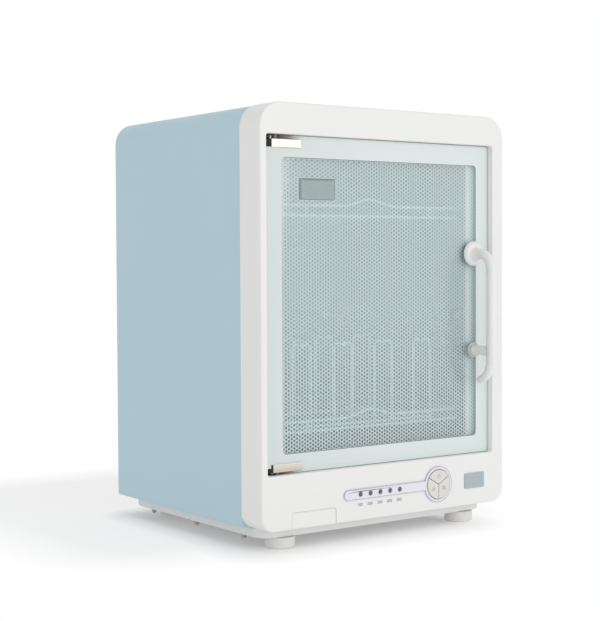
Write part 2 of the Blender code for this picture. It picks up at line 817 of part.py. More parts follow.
def build_chamber():
    chamber = plate(
        "inner_chamber", [hole_outline(CHAMBER_FLANGE)], CHAMBER_FRONT, CHAMBER_BACK + CHAMBER_WALL,
        MIRROR_STEEL,
    )
    inside = plate("chamber_inside", [hole_outline()], CHAMBER_FRONT - OVERRUN, CHAMBER_BACK)
    outside = plate(
        "chamber_outside", [hole_outline(CHAMBER_FLANGE + OVERRUN), hole_outline(CHAMBER_WALL)],
        CHAMBER_FRONT + CHAMBER_WALL, CHAMBER_BACK + CHAMBER_WALL + OVERRUN,
    )
    through = CHAMBER_WALL + 2 * OVERRUN
    grille = slots(
        "fan_slots", (HOLE_MIDDLE, CHAMBER_BACK, FAN_Z), GRILLE_SLOTS, (GRILLE_SPAN, GRILLE_SLOT_HEIGHT),
        (0, GRILLE_SPAN / (GRILLE_SLOTS - 1)), through,
    )
    outlet = slots(
        "outlet_slots", (HOLE_MIDDLE, CHAMBER_BACK, HOLE_LOW + HEATER_RISE + HEATER_HEIGHT / 2),
        OUTLET_SLOTS, (OUTLET_SLOT_WIDTH, OUTLET_SLOT_HEIGHT), (HEATER_WIDTH / OUTLET_SLOTS, 0), through,
    )
    drain = rod(
        "drain_hole", (DRAIN_X, DRAIN_Y, HOLE_LOW - CHAMBER_WALL - OVERRUN), "z", DRAIN_HOLE_RADIUS,
        through, sides=SMALL_SIDES,
    )
    cut(chamber, inside, outside, grille, outlet, drain)


def build_plinth_and_feet():
    inset = PLINTH_SIDE_INSET
    near = FRONT + PLINTH_FRONT_INSET
    far = BACK - PLINTH_BACK_INSET
    low = BOTTOM - PLINTH_HEIGHT
    high = BOTTOM - SEAT_GAP
    outline = rounded(LEFT + inset, RIGHT - inset, near, far, PLINTH_CORNER)
    plinth = plate("base_plinth", [outline], low, high, PLINTH_GREY, facing="top")
    wall = PLINTH_WALL
    inner = rounded(LEFT + inset + wall, RIGHT - inset - wall, near + wall, far - wall, PLINTH_CORNER - wall)
    cut(plinth, plate("plinth_inside", [inner], low + wall, high + OVERRUN, facing="top"))
    feet = {
        "foot_front_left": (LEFT + FOOT_FRONT_SIDE_INSET, FRONT + FOOT_FRONT_INSET),
        "foot_front_right": (RIGHT - FOOT_FRONT_SIDE_INSET, FRONT + FOOT_FRONT_INSET),
        "foot_rear_left": (LEFT + FOOT_REAR_SIDE_INSET, BACK - FOOT_REAR_INSET),
        "foot_rear_right": (RIGHT - FOOT_REAR_SIDE_INSET, BACK - FOOT_REAR_INSET),
    }
    height = FOOT_HEIGHT - SEAT_GAP
    profile = [(FOOT_RECESS_RADIUS, 0), (FOOT_RECESS_RADIUS, FOOT_RECESS_DEPTH), (0, FOOT_RECESS_DEPTH)]
    profile = [(0, height), (FOOT_RADIUS, height), (FOOT_RADIUS, FOOT_EDGE), (FOOT_RADIUS - FOOT_EDGE, 0)] + profile
    for name, (x, y) in feet.items():
        turned(name, profile, (x, y, 0), "z", FOOT_GREY)


def build_seal():
    plate(
        "door_seal", [hole_outline(SEAL_INSET + SEAL_WIDTH), hole_outline(SEAL_INSET)],
        GLASS_BACK + SEAT_GAP, RIM_FRONT - SEAT_GAP, SEAL_RUBBER,
    )


def build_door(door):
    notch = NOTCH_HEIGHT
    corner = GLASS_CORNER
    outline = [
        (NOTCH_RIGHT, GLASS_LOW),
        *arc((GLASS_RIGHT - corner, GLASS_LOW + corner), corner, -math.pi / 2, 0, FEW_STEPS),
        *arc((GLASS_RIGHT - corner, GLASS_HIGH - corner), corner, 0, math.pi / 2, FEW_STEPS),
        (NOTCH_RIGHT, GLASS_HIGH),
        (NOTCH_RIGHT, GLASS_HIGH - notch),
        (GLASS_LEFT, GLASS_HIGH - notch),
        (GLASS_LEFT, GLASS_LOW + notch),
        (NOTCH_RIGHT, GLASS_LOW + notch),
    ]
    holes = [circle((HANDLE_X, z), GLASS_HOLE_RADIUS, SMALL_SIDES) for z in (HANDLE_TOP, POST_Z)]
    plate("door_glass", [outline, *holes], GLASS_FRONT, GLASS_BACK, MINT_GLASS, door)
    upper = GLASS_HIGH - UPPER_CLIP_DROP - CLIP_HEIGHT
    lower = GLASS_LOW + LOWER_CLIP_RISE
    build_hinge("upper", door, upper, OPEN_HIGH, 1)
    build_hinge("lower", door, lower, OPEN_LOW, -1)
    strike_right = GLASS_RIGHT - STRIKE_EDGE
    strike_low = GLASS_LOW + CATCH_RISE
    block(
        "strike_plate",
        (strike_right - STRIKE_WIDTH, GLASS_BACK + SEAT_GAP, strike_low),
        (strike_right, GLASS_BACK + SEAT_GAP + STRIKE_THICKNESS, strike_low + STRIKE_HEIGHT),
        ZINC_STEEL, door,
    )
    block(
        "catch_magnet",
        (strike_right - STRIKE_WIDTH, GLASS_BACK + STRIKE_THICKNESS + 2 * SEAT_GAP, strike_low),
        (strike_right, RIM_FRONT - SEAT_GAP, strike_low + STRIKE_HEIGHT),
        BLACK_PLASTIC,
    )


def build_hinge(side, door, low, edge, way):
    """One hinge: the clip that clasps the glass, its pin, and the bush in the frame."""
    high = low + CLIP_HEIGHT
    right = CLIP_LEFT + CLIP_LENGTH
    front = GLASS_FRONT - SEAT_GAP - CLIP_LEG
    back = GLASS_BACK + SEAT_GAP + CLIP_LEG
    slot = NOTCH_RIGHT - SEAT_GAP
    outline = [
        (CLIP_LEFT + CLIP_CHAMFER, front),
        (right, front),
        (right, front + CLIP_LEG),
        (slot, front + CLIP_LEG),
        (slot, back - CLIP_LEG),
        (right, back - CLIP_LEG),
        (right, back),
        (CLIP_LEFT, back),
        (CLIP_LEFT, front + CLIP_CHAMFER),
    ]
    bore = circle((HINGE_X, HINGE_Y), PIN_RADIUS + SEAT_GAP, SMALL_SIDES)
    plate("hinge_clip_" + side, [outline, bore], low, high, CHROME, door, facing="top")
    start = low if way > 0 else high
    end = edge + way * (RETURN_WALL + BUSH_TAIL)
    rod(
        "hinge_pin_" + side, (HINGE_X, HINGE_Y, start), "z" if way > 0 else "-z", PIN_RADIUS,
        abs(end - start), ZINC_STEEL, door, SMALL_SIDES,
    )
    tail = RETURN_WALL + BUSH_TAIL
    bore_radius = PIN_RADIUS + SEAT_GAP
    head = -SEAT_GAP - BUSH_FLANGE
    profile = [(bore_radius, tail), (BUSH_RADIUS, tail), (BUSH_RADIUS, -SEAT_GAP)]
    profile += [(BUSH_FLANGE_RADIUS, -SEAT_GAP), (BUSH_FLANGE_RADIUS, head), (bore_radius, head)]
    turned(
        "hinge_bush_" + side, profile, (HINGE_X, HINGE_Y, edge), "z" if way > 0 else "-z", BRASS,
        sides=SMALL_SIDES, ring=True,
    )


def handle_path():
    """Points and radii of the bowed handle, from its rosette to the tip of its tail."""
    start = GLASS_FRONT - SEAT_GAP - ROSETTE_THICKNESS - SEAT_GAP
    spots = [(start, HANDLE_TOP)]
    radii = [HANDLE_ROOT_RADIUS]
    quarter = math.pi / 2
    for index, (y, z) in enumerate(
        arc((HANDLE_Y + HANDLE_BEND, HANDLE_TOP - HANDLE_BEND), HANDLE_BEND, quarter, 2 * quarter, CORNER_STEPS)
    ):
        spots.append((y, z))
        radii.append(HANDLE_ROOT_RADIUS + (HANDLE_RADIUS - HANDLE_ROOT_RADIUS) * index / CORNER_STEPS)
    tail_start = HANDLE_TOP - TAIL_START_DROP
    tail = arc((HANDLE_Y + TAIL_BEND, tail_start), TAIL_BEND, 2 * quarter, 2 * quarter + TAIL_SWEEP, CORNER_STEPS)
    for index, (y, z) in enumerate(tail):
        spots.append((y, z))
        share = (index / CORNER_STEPS) ** 2
        radii.append(HANDLE_RADIUS + (HANDLE_TIP_RADIUS - HANDLE_RADIUS) * share)
    return [(HANDLE_X, y, z) for y, z in spots], radii


def build_handle(door):
    spots, radii = handle_path()
    add("handle_bar", wire_mesh(spots, HANDLE_RADIUS, sides=HANDLE_SIDES, radii=radii), at(0, 0, 0),
        WHITE_PLASTIC, door)
    bore = HANDLE_SCREW_RADIUS + SEAT_GAP
    thick = ROSETTE_THICKNESS
    profile = [(bore, thick), (ROSETTE_RADIUS - ROSETTE_EDGE, thick)]
    profile += [(ROSETTE_RADIUS, thick - ROSETTE_EDGE), (ROSETTE_RADIUS, 0), (bore, 0)]
    seat = GLASS_FRONT - SEAT_GAP
    turned(
        "handle_rosette", profile, (HANDLE_X, seat, HANDLE_TOP), "-y", WHITE_PLASTIC, door, ring=True
    )
    profile = [(bore, WASHER_THICKNESS), (WASHER_RADIUS, WASHER_THICKNESS), (WASHER_RADIUS, 0), (bore, 0)]
    turned("handle_washer", profile, (HANDLE_X, seat, POST_Z), "-y", CLEAR_MINT, door, ring=True)
    root = seat - WASHER_THICKNESS - SEAT_GAP
    post = rod(
        "handle_post", (HANDLE_X, HANDLE_Y, POST_Z), "y", POST_RADIUS, root - HANDLE_Y, POST_GREY, door,
        sides=2 * SMALL_SIDES,
    )
    reach = 2 * POST_RADIUS
    saddle = rod(
        "post_saddle", (HANDLE_X, HANDLE_Y, POST_Z - reach), "z", HANDLE_RADIUS + SEAT_GAP, 2 * reach
    )
    socket = rod(
        "post_socket", (HANDLE_X, root - HANDLE_SCREW_REACH, POST_Z), "y", bore,
        HANDLE_SCREW_REACH + OVERRUN, sides=SMALL_SIDES,
    )
    cut(post, saddle, socket)
    shank = GLASS_THICKNESS + 2 * SEAT_GAP + HANDLE_SCREW_REACH
    head = HANDLE_SCREW_HEAD
    profile = [(0, shank + head), (HANDLE_SCREW_HEAD_RADIUS, shank + head), (HANDLE_SCREW_HEAD_RADIUS, shank)]
    profile += [(HANDLE_SCREW_RADIUS, shank), (HANDLE_SCREW_RADIUS, 0), (0, 0)]
    start = GLASS_BACK + SEAT_GAP - shank
    for name, z in (("handle_screw_upper", HANDLE_TOP), ("handle_screw_lower", POST_Z)):
        turned(name, profile, (HANDLE_X, start, z), "y", ZINC_STEEL, door, SMALL_SIDES)


def sector(direction, outer, gap):
    """The outline of a third of a disc, drawn back from its two neighbours by half the gap."""
    half = KEY_SPAN / 2
    apex = gap / 2 / math.sin(half)
    trim = gap / 2 / outer
    middle = (PAD_X, STRIP_Z)
    tip = (middle[0] + apex * math.cos(direction), middle[1] + apex * math.sin(direction))
    return [tip, *arc(middle, outer, direction - half + trim, direction + half - trim, KEY_STEPS)]


def build_controls():
    near = FRONT - SEAT_GAP - BEZEL_THICKNESS
    far = FRONT - SEAT_GAP
    half = STRIP_HEIGHT / 2
    swing = math.asin(half / PAD_RADIUS)
    outline = arc((STRIP_LEFT + half, STRIP_Z), half, math.pi / 2, 3 * math.pi / 2, 2 * CORNER_STEPS)
    outline += arc((PAD_X, STRIP_Z), PAD_RADIUS, -math.pi + swing, math.pi - swing, ROUND_SIDES + SMALL_SIDES)
    holes = [circle((x, STRIP_Z), LENS_RADIUS + SEAT_GAP, SMALL_SIDES) for x in lamp_spots()]
    holes.append(circle((PAD_X, STRIP_Z), KEY_PAD_RADIUS + SEAT_GAP, ROUND_SIDES + SMALL_SIDES))
    plate("control_bezel", [outline, *holes], near, far, LAVENDER)
    front = FRONT - KEY_PROUD
    for name, direction in zip(("power_key", "lamp_key", "dry_key"), key_directions()):
        stem = (
            PAD_X + KEY_STEM_OUT * math.cos(direction),
            front + KEY_THICKNESS - OVERRUN / 2,
            STRIP_Z + KEY_STEM_OUT * math.sin(direction),
        )
        outline = sector(direction, KEY_PAD_RADIUS - SEAT_GAP / 2, KEY_SPLIT)
        key = plate(name, [outline], front, front + KEY_THICKNESS, KEY_CREAM)
        join(
            key, rod(name + "_stem", stem, "y", KEY_STEM_RADIUS, KEY_STEM_LENGTH + OVERRUN / 2, sides=SMALL_SIDES)
        )
    bar_front = FRONT + FACE_WALL + SEAT_GAP
    bar_back = bar_front + LENS_BAR_WALL
    spots = lamp_spots()
    reach = LENS_BAR_HEIGHT / 2
    bar = block(
        "indicator_lens_bar", (spots[0] - reach, bar_front, STRIP_Z - reach),
        (spots[-1] + reach, bar_back, STRIP_Z + reach), LENS_VIOLET,
    )
    lens = rod_mesh(LENS_RADIUS, bar_front + LENS_BAR_WALL / 2 - near + SEAT_GAP, SMALL_SIDES)
    join(bar, many("lenses", lens, [at(x, near - SEAT_GAP, STRIP_Z) @ ALONG["y"] for x in spots]))
    board = block(
        "control_board",
        (STRIP_BOARD_LEFT, BOARD_FRONT, STRIP_Z - BOARD_DROP),
        (STRIP_BOARD_RIGHT, BOARD_FRONT + BOARD_WALL, STRIP_Z + BOARD_RISE),
        BOARD_GREEN,
    )
    led = rod_mesh(LED_RADIUS, LED_LENGTH + BOARD_WALL / 2, SMALL_SIDES)
    leds = many("leds", led, [at(x, BOARD_FRONT - LED_LENGTH, STRIP_Z) @ ALONG["y"] for x in spots])
    depth = SWITCH_DEPTH + BOARD_WALL / 2
    places = []
    for direction in key_directions():
        x = PAD_X + KEY_STEM_OUT * math.cos(direction)
        z = STRIP_Z + KEY_STEM_OUT * math.sin(direction)
        places.append(at(x, BOARD_FRONT - SWITCH_DEPTH + depth / 2, z))
    join(board, leds, many("switches", box_mesh((SWITCH_SIDE, depth, SWITCH_SIDE)), places))
    badge = rounded(
        RIGHT - BADGE_SIDE_INSET - BADGE_WIDTH, RIGHT - BADGE_SIDE_INSET, BOTTOM + BADGE_RISE,
        BOTTOM + BADGE_RISE + BADGE_HEIGHT, BADGE_CORNER, FEW_STEPS,
    )
    plate("badge_plate", [badge], FRONT - SEAT_GAP - BADGE_THICKNESS, FRONT - SEAT_GAP, BADGE_BLUE)


def build_tray(tray):
    gap = SEAT_GAP
    corner = TRAY_FRONT_CORNER - gap
    left = TRAY_FRONT_LEFT + gap
    right = TRAY_FRONT_RIGHT - gap
    high = BOTTOM + TRAY_FRONT_HEIGHT - gap
    outline = [(left, BOTTOM), (right, BOTTOM)]
    outline += arc((right - corner, high - corner), corner, 0, math.pi / 2, FEW_STEPS)
    outline += arc((left + corner, high - corner), corner, math.pi / 2, math.pi, FEW_STEPS)
    plate("tray_front", [outline], FRONT, FRONT + FACE_WALL, WHITE_PLASTIC, tray)
    near = FRONT + FACE_WALL + gap
    side = TRAY_SIDE_INSET
    low = TRAY_LOW
    body = block(
        "drip_tray", (TRAY_FRONT_LEFT + side, near, low),
        (TRAY_FRONT_RIGHT - side, near + TRAY_LENGTH, low + TRAY_HEIGHT), WHITE_PLASTIC, tray,
    )
    wall = TRAY_WALL
    inside = block(
        "tray_inside", (TRAY_FRONT_LEFT + side + wall, near + wall, low + wall),
        (TRAY_FRONT_RIGHT - side - wall, near + TRAY_LENGTH - wall, low + TRAY_HEIGHT + OVERRUN),
    )
    cut(body, inside)
    floor = SHELL_INNER_LOW + gap
    bed = floor + GUIDE_FLOOR
    rim = low + TRAY_HEIGHT
    inner = (TRAY_FRONT_LEFT + side - RUN_GAP, TRAY_FRONT_RIGHT - side + RUN_GAP)
    outer = (inner[0] - GUIDE_WALL, inner[1] + GUIDE_WALL)
    outline = [(outer[0], floor), (outer[1], floor), (outer[1], rim), (inner[1], rim)]
    outline += [(inner[1], bed), (inner[0], bed), (inner[0], rim), (outer[0], rim)]
    start = FRONT + FRAME_DEPTH + OVERRUN
    plate("tray_guide", [outline], start, start + GUIDE_LENGTH, PLINTH_GREY)
    top = HOLE_LOW - CHAMBER_WALL - gap
    end = low + TRAY_HEIGHT + DRAIN_DROP
    profile = [(DRAIN_BORE_RADIUS, top), (DRAIN_FLANGE_RADIUS, top), (DRAIN_FLANGE_RADIUS, top - DRAIN_FLANGE)]
    profile += [(DRAIN_PIPE_RADIUS, top - DRAIN_FLANGE), (DRAIN_PIPE_RADIUS, end), (DRAIN_BORE_RADIUS, end)]
    turned(
        "drain_pipe", profile, (DRAIN_X, DRAIN_Y, 0), "z", BLACK_PLASTIC, sides=SMALL_SIDES, ring=True
    )


def rack_loop(level, hump):
    """The closed run of a rack's rail, with a raised hump in the middle of its front where asked."""
    steps = CORNER_STEPS // 2
    flat = rounded(RACK_LEFT, RACK_RIGHT, RACK_FRONT, RACK_BACK, RACK_CORNER, steps)
    points = [(x, y, level) for x, y in flat]
    if hump:
        middle = (RACK_LEFT + RACK_RIGHT) / 2
        for step in range(HUMP_STEPS + 1):
            share = step / HUMP_STEPS
            rise = hump * (1 - math.cos(2 * math.pi * share)) / 2
            points.append((middle + HUMP_WIDTH * (share - 0.5), RACK_FRONT, level + rise))
        turn = len(flat) - steps - 1
        points = points[:turn] + points[len(flat):] + points[turn:len(flat)]
    return points


def build_rack(name, level, parent):
    """A rack of wire: its floor, and the fence that stands on the floor's rail."""
    top = level + FENCE_HEIGHT
    foot = level + WIRE_RADIUS + SEAT_GAP
    width = RACK_RIGHT - RACK_LEFT
    depth = RACK_BACK - RACK_FRONT
    rail = wire_mesh(rack_loop(top, HUMP_HEIGHT), WIRE_RADIUS, closed=True)
    fence = add(name + "_fence", rail, at(0, 0, 0), CHROME, parent)
    post = rod_mesh(THIN_WIRE_RADIUS, top - foot, WIRE_SIDES)
    places = []
    for share in FENCE_POST_SHARES:
        places += [at(RACK_LEFT + width * share, y, foot) for y in (RACK_FRONT, RACK_BACK)]
    for share in SIDE_POST_SHARES:
        places += [at(x, RACK_FRONT + depth * share, foot) for x in (RACK_LEFT, RACK_RIGHT)]
    join(fence, many(name + "_posts", post, places))
    rack = add(name, wire_mesh(rack_loop(level, 0), WIRE_RADIUS, closed=True), at(0, 0, 0), CHROME, parent)
    places = []
    for index in range(FLOOR_WIRES):
        x = RACK_LEFT + width * (index + 1) / (FLOOR_WIRES + 1)
        places.append(at(x, RACK_FRONT, level) @ ALONG["y"])
    floor = many(name + "_floor", rod_mesh(THIN_WIRE_RADIUS, depth, WIRE_SIDES), places)
    places = []
    for share in TIE_SHARES:
        places.append(at(RACK_LEFT, RACK_FRONT + depth * share, level + THIN_WIRE_RADIUS) @ ALONG["x"])
    ties = many(name + "_ties", rod_mesh(THIN_WIRE_RADIUS, width, WIRE_SIDES), places)
    join(rack, floor, ties)


def peg_points(middle, y, low):
    """One upturned loop of wire that a bottle stands over, with a slight dip in its top."""
    half = PEG_WIDTH / 2
    top = low + PEG_HEIGHT
    bend = PEG_BEND
    points = [(middle - half, y, low)]
    for u, v in arc((middle - half + bend, top - bend), bend, math.pi, math.pi / 2, FEW_STEPS):
        points.append((u, y, v))
    points.append((middle, y, top - PEG_DIP))
    for u, v in arc((middle + half - bend, top - bend), bend, math.pi / 2, 0, FEW_STEPS):
        points.append((u, y, v))
    points.append((middle + half, y, low))
    return points


def build_pegs(name, y, parent):
    low = LOWER_RACK_Z + THIN_WIRE_RADIUS + WIRE_RADIUS + SEAT_GAP
    left = RACK_LEFT + PEG_SIDE_MARGIN
    right = RACK_RIGHT - PEG_SIDE_MARGIN
    reach = PEG_WIDTH / 2 + 2 * THIN_WIRE_RADIUS
    rail = rod(
        name, (left - reach, y, low), "x", WIRE_RADIUS, right - left + 2 * reach, CHROME, parent, WIRE_SIDES
    )
    loops = []
    for index in range(PEG_LOOPS):
        middle = left + (right - left) * index / (PEG_LOOPS - 1)
        mesh = wire_mesh(peg_points(middle, y, low), THIN_WIRE_RADIUS)
        loops.append(add(f"{name}_loop_{index + 1}", mesh, Matrix.Identity(4)))
    join(rail, *loops)


def build_runners():
    """The four ledges on the chamber's side walls that the racks rest and slide on."""
    for tier, level in (("lower", LOWER_RACK_Z), ("upper", UPPER_RACK_Z)):
        high = level - WIRE_RADIUS - SEAT_GAP
        low = high - RUNNER_THICKNESS
        for side, left in (("left", HOLE_LEFT + SEAT_GAP), ("right", HOLE_RIGHT - SEAT_GAP - RUNNER_WIDTH)):
            block(
                f"{tier}_runner_{side}", (left, RACK_FRONT, low), (left + RUNNER_WIDTH, RACK_BACK, high),
                MIRROR_STEEL,
            )


def bent_sheet(name, profile, near, far, wall, look, facing):
    """A sheet bent along a profile and run from near to far, thickened about its middle."""
    made = bmesh.new()
    corners = [made.verts.new((u, v, near)) for u, v in profile]
    edges = [made.edges.new(pair) for pair in zip(corners, corners[1:])]
    swept = bmesh.ops.extrude_edge_only(made, edges=edges)
    moved = [item for item in swept["geom"] if isinstance(item, bmesh.types.BMVert)]
    bmesh.ops.translate(made, vec=(0, 0, far - near), verts=moved)
    mesh = bpy.data.meshes.new(name)
    made.to_mesh(mesh)
    made.free()
    thing = add(name, mesh, FACING[facing], look)
    thickness = thing.modifiers.new("wall", "SOLIDIFY")
    thickness.thickness = wall
    thickness.offset = 0
    thickness.use_even_offset = True
    return thing


def build_lamp_end(side, way, start, top):
    """A metal cap with its two pins, and the holder that they stand in."""
    along = "x" if way > 0 else "-x"
    cap = rod("lamp_cap_" + side, (start, TUBE_Y, TUBE_Z), along, CAP_RADIUS, CAP_LENGTH, ALUMINIUM)
    middle = start + way * CAP_LENGTH / 2
    pin = rod_mesh(CAP_PIN_RADIUS, CAP_LENGTH / 2 + CAP_PIN_LENGTH, WIRE_SIDES)
    spots = [TUBE_Y - CAP_PIN_SPREAD, TUBE_Y + CAP_PIN_SPREAD]
    join(cap, many("cap_pins_" + side, pin, [at(middle, y, TUBE_Z) @ ALONG[along] for y in spots]))
    x = start + way * (CAP_LENGTH + SEAT_GAP + HOLDER_THICKNESS / 2)
    size = (HOLDER_THICKNESS, HOLDER_WIDTH, HOLDER_HEIGHT)
    place = at(x, TUBE_Y, top - HOLDER_HEIGHT / 2)
    holder = add("lamp_holder_" + side, box_mesh(size), place, WHITE_PLASTIC)
    clear = CAP_PIN_RADIUS + SEAT_GAP
    slot = box_mesh((HOLDER_THICKNESS + 2 * OVERRUN, 2 * (CAP_PIN_SPREAD + clear), 2 * clear))
    cut(holder, add("pin_slot_" + side, slot, at(x, TUBE_Y, TUBE_Z)))


def build_lamp():
    half = TUBE_LENGTH / 2
    rod("uv_lamp", (HOLE_MIDDLE - half, TUBE_Y, TUBE_Z), "x", TUBE_RADIUS, TUBE_LENGTH, LAMP_GLASS)
    top = HOLE_HIGH - SEAT_GAP
    for side, way in (("left", -1), ("right", 1)):
        build_lamp_end(side, way, HOLE_MIDDLE + way * (half + SEAT_GAP), top)
    flat = REFLECTOR_FLAT
    reach = REFLECTOR_REACH
    level = HOLE_HIGH - SEAT_GAP - REFLECTOR_WALL
    profile = [
        (TUBE_Y - reach, level - REFLECTOR_FALL), (TUBE_Y - flat, level),
        (TUBE_Y + flat, level), (TUBE_Y + reach, level - REFLECTOR_FALL),
    ]
    bent_sheet(
        "lamp_reflector", profile, HOLE_MIDDLE - half, HOLE_MIDDLE + half, REFLECTOR_WALL, MIRROR_STEEL, "side"
    )
    low = HOLE_HIGH - GUARD_DROP
    left = HOLE_LEFT + GUARD_SIDE_GAP
    right = HOLE_RIGHT - GUARD_SIDE_GAP
    profile = [(left, top), (left, low), (right, low), (right, top)]
    near = TUBE_Y - GUARD_DEPTH / 2
    guard = bent_sheet("lamp_guard", profile, -near - GUARD_DEPTH, -near, GUARD_WALL, ZINC_STEEL, "front")
    span = right - left
    places = []
    for index in range(GUARD_SLOTS):
        places.append(at(left + span * (index + 1) / (GUARD_SLOTS + 1), TUBE_Y, low))
    slot = box_mesh((GUARD_SLOT_WIDTH, GUARD_DEPTH - 2 * GUARD_SLOT_MARGIN, GUARD_WALL + 2 * OVERRUN))
    cut(guard, many("guard_slots", slot, places))


def strut_window(middle, start):
    """The outline of one of the four openings that the fan's rear struts leave."""
    inner = STATOR_RADIUS
    outer = FAN_BORE_RADIUS - STRUT_WIDTH / 4
    near = STRUT_WIDTH / 2 / inner
    far = STRUT_WIDTH / 2 / outer
    quarter = math.pi / 2
    points = arc(middle, outer, start + far, start + quarter - far, CORNER_STEPS)
    return points + arc(middle, inner, start + quarter - near, start + near, FEW_STEPS)


def build_fan(spin):
    half = FAN_SIDE / 2
    x, z = HOLE_MIDDLE, FAN_Z
    outline = rounded(x - half, x + half, z - half, z + half, FAN_CORNER, FEW_STEPS)
    housing = plate("fan_housing", [outline], FAN_FRONT, FAN_BACK, BLACK_PLASTIC)
    rear = FAN_BACK - STRUT_DEPTH
    bore = plate("fan_bore", [circle((x, z), FAN_BORE_RADIUS, ROUND_SIDES)], FAN_FRONT - OVERRUN, rear)
    windows = []
    for index in range(4):
        window = strut_window((x, z), math.radians(90 * index))
        windows.append(plate(f"fan_window_{index + 1}", [window], rear - OVERRUN, FAN_BACK + OVERRUN))
    cut(housing, bore, *windows)
    bore_radius = FAN_SHAFT_RADIUS + SEAT_GAP
    stator_back = rear - SEAT_GAP
    depth = STATOR_DEPTH
    profile = [(bore_radius, depth), (STATOR_RADIUS, depth), (STATOR_RADIUS, 0), (bore_radius, 0)]
    turned("fan_stator", profile, (x, stator_back - depth, z), "y", ZINC_STEEL, ring=True)
    hub_front = FAN_FRONT + FAN_FRONT_GAP
    hub = rod("fan_rotor", (x, hub_front, z), "y", HUB_RADIUS, HUB_DEPTH, BLACK_PLASTIC, spin)
    tools = [
        rod("fan_shaft", (x, hub_front + HUB_DEPTH / 2, z), "y", FAN_SHAFT_RADIUS,
            stator_back - hub_front - HUB_DEPTH / 2, sides=SMALL_SIDES)
    ]
    root = HUB_RADIUS - BLADE_WALL
    length = BLADE_TIP_RADIUS - root
    for index in range(BLADE_COUNT):
        turn = Matrix.Rotation(2 * math.pi * index / BLADE_COUNT, 4, "Y")
        pitch = Matrix.Rotation(BLADE_PITCH, 4, "X")
        middle = at(x, hub_front + HUB_DEPTH / 2, z)
        place = middle @ turn @ at(root + length / 2, 0, 0) @ pitch
        tools.append(add(f"fan_blade_{index + 1}", box_mesh((length, BLADE_WALL, BLADE_CHORD)), place))
    join(hub, *tools)


def build_heater():
    left = HOLE_MIDDLE - HEATER_WIDTH / 2
    low = HOLE_LOW + HEATER_RISE
    pitch = HEATER_WIDTH / (2 * HEATER_FINS - 1)
    high = low + HEATER_HEIGHT
    outline = [(left, low), (left + HEATER_WIDTH, low)]
    for index in reversed(range(HEATER_FINS)):
        start = left + 2 * pitch * index
        outline += [(start + pitch, high), (start, high)]
        if index:
            outline += [(start, low + HEATER_CORE), (start - pitch, low + HEATER_CORE)]
    plate("heater_block", [outline], FAN_FRONT, FAN_FRONT + HEATER_DEPTH, ALUMINIUM)


def build_electrics():
    floor = SHELL_INNER_LOW + SEAT_GAP
    right = RIGHT - POWER_BOARD_SIDE_INSET
    left = right - POWER_BOARD_WIDTH
    far = BACK - POWER_BOARD_BACK_GAP
    near = far - POWER_BOARD_DEPTH
    low = floor + POWER_BOARD_RISE
    board = block("power_board", (left, near, low), (right, far, low + BOARD_WALL), BOARD_GREEN)
    top = low + BOARD_WALL / 2
    side = TRANSFORMER_SIDE
    edge = side / 4
    transformer = block(
        "transformer", (left + edge, near + edge, top),
        (left + edge + side, near + edge + side, top + TRANSFORMER_HEIGHT),
    )
    spots = [(right - side, near + 2 * CAPACITOR_RADIUS), (right - side, far - 2 * CAPACITOR_RADIUS)]
    capacitor = rod_mesh(CAPACITOR_RADIUS, CAPACITOR_HEIGHT)
    capacitors = many("capacitors", capacitor, [at(x, y, top) for x, y in spots])
    legs = []
    for x in (left + 2 * PILLAR_RADIUS, right - 2 * PILLAR_RADIUS):
        for y in (near + 2 * PILLAR_RADIUS, far - 2 * PILLAR_RADIUS):
            legs.append(at(x, y, floor))
    pillars = many("board_legs", rod_mesh(PILLAR_RADIUS, POWER_BOARD_RISE + BOARD_WALL / 2, SMALL_SIDES), legs)
    join(board, transformer, capacitors, pillars)
    ballast_left = left - BALLAST_GAP - BALLAST_WIDTH
    block(
        "ballast_box", (ballast_left, far - BALLAST_DEPTH, floor),
        (ballast_left + BALLAST_WIDTH, far, floor + BALLAST_HEIGHT), ALUMINIUM, edge=BALLAST_EDGE,
    )
    x = RIGHT - INLET_SIDE_INSET
    z = BOTTOM + INLET_RISE
    rear = PANEL_BACK + SEAT_GAP
    wide, tall = INLET_WIDTH / 2, INLET_HEIGHT / 2
    inlet = block(
        "mains_inlet", (x - wide, rear - INLET_DEPTH, z - tall), (x + wide, rear + INLET_FLANGE_WALL, z + tall),
        BLACK_PLASTIC,
    )
    rim = INLET_FLANGE
    flange = block(
        "inlet_flange", (x - wide - rim, rear, z - tall - rim),
        (x + wide + rim, rear + INLET_FLANGE_WALL, z + tall + rim),
    )
    wall = INLET_WALL
    socket = block(
        "inlet_inside", (x - wide + wall, rear - INLET_DEPTH + wall, z - tall + wall),
        (x + wide - wall, rear + INLET_FLANGE_WALL + OVERRUN, z + tall - wall),
    )
    start = rear - INLET_DEPTH + wall / 2
    pin = rod_mesh(INLET_PIN_RADIUS, wall / 2 + INLET_PIN_LENGTH, SMALL_SIDES)
    pins = many("inlet_pins", pin, [at(x + side * INLET_PIN_SPREAD, start, z) @ ALONG["y"] for side in (-1, 1)])
    join(inlet, flange)
    cut(inlet, socket)
    join(inlet, pins)


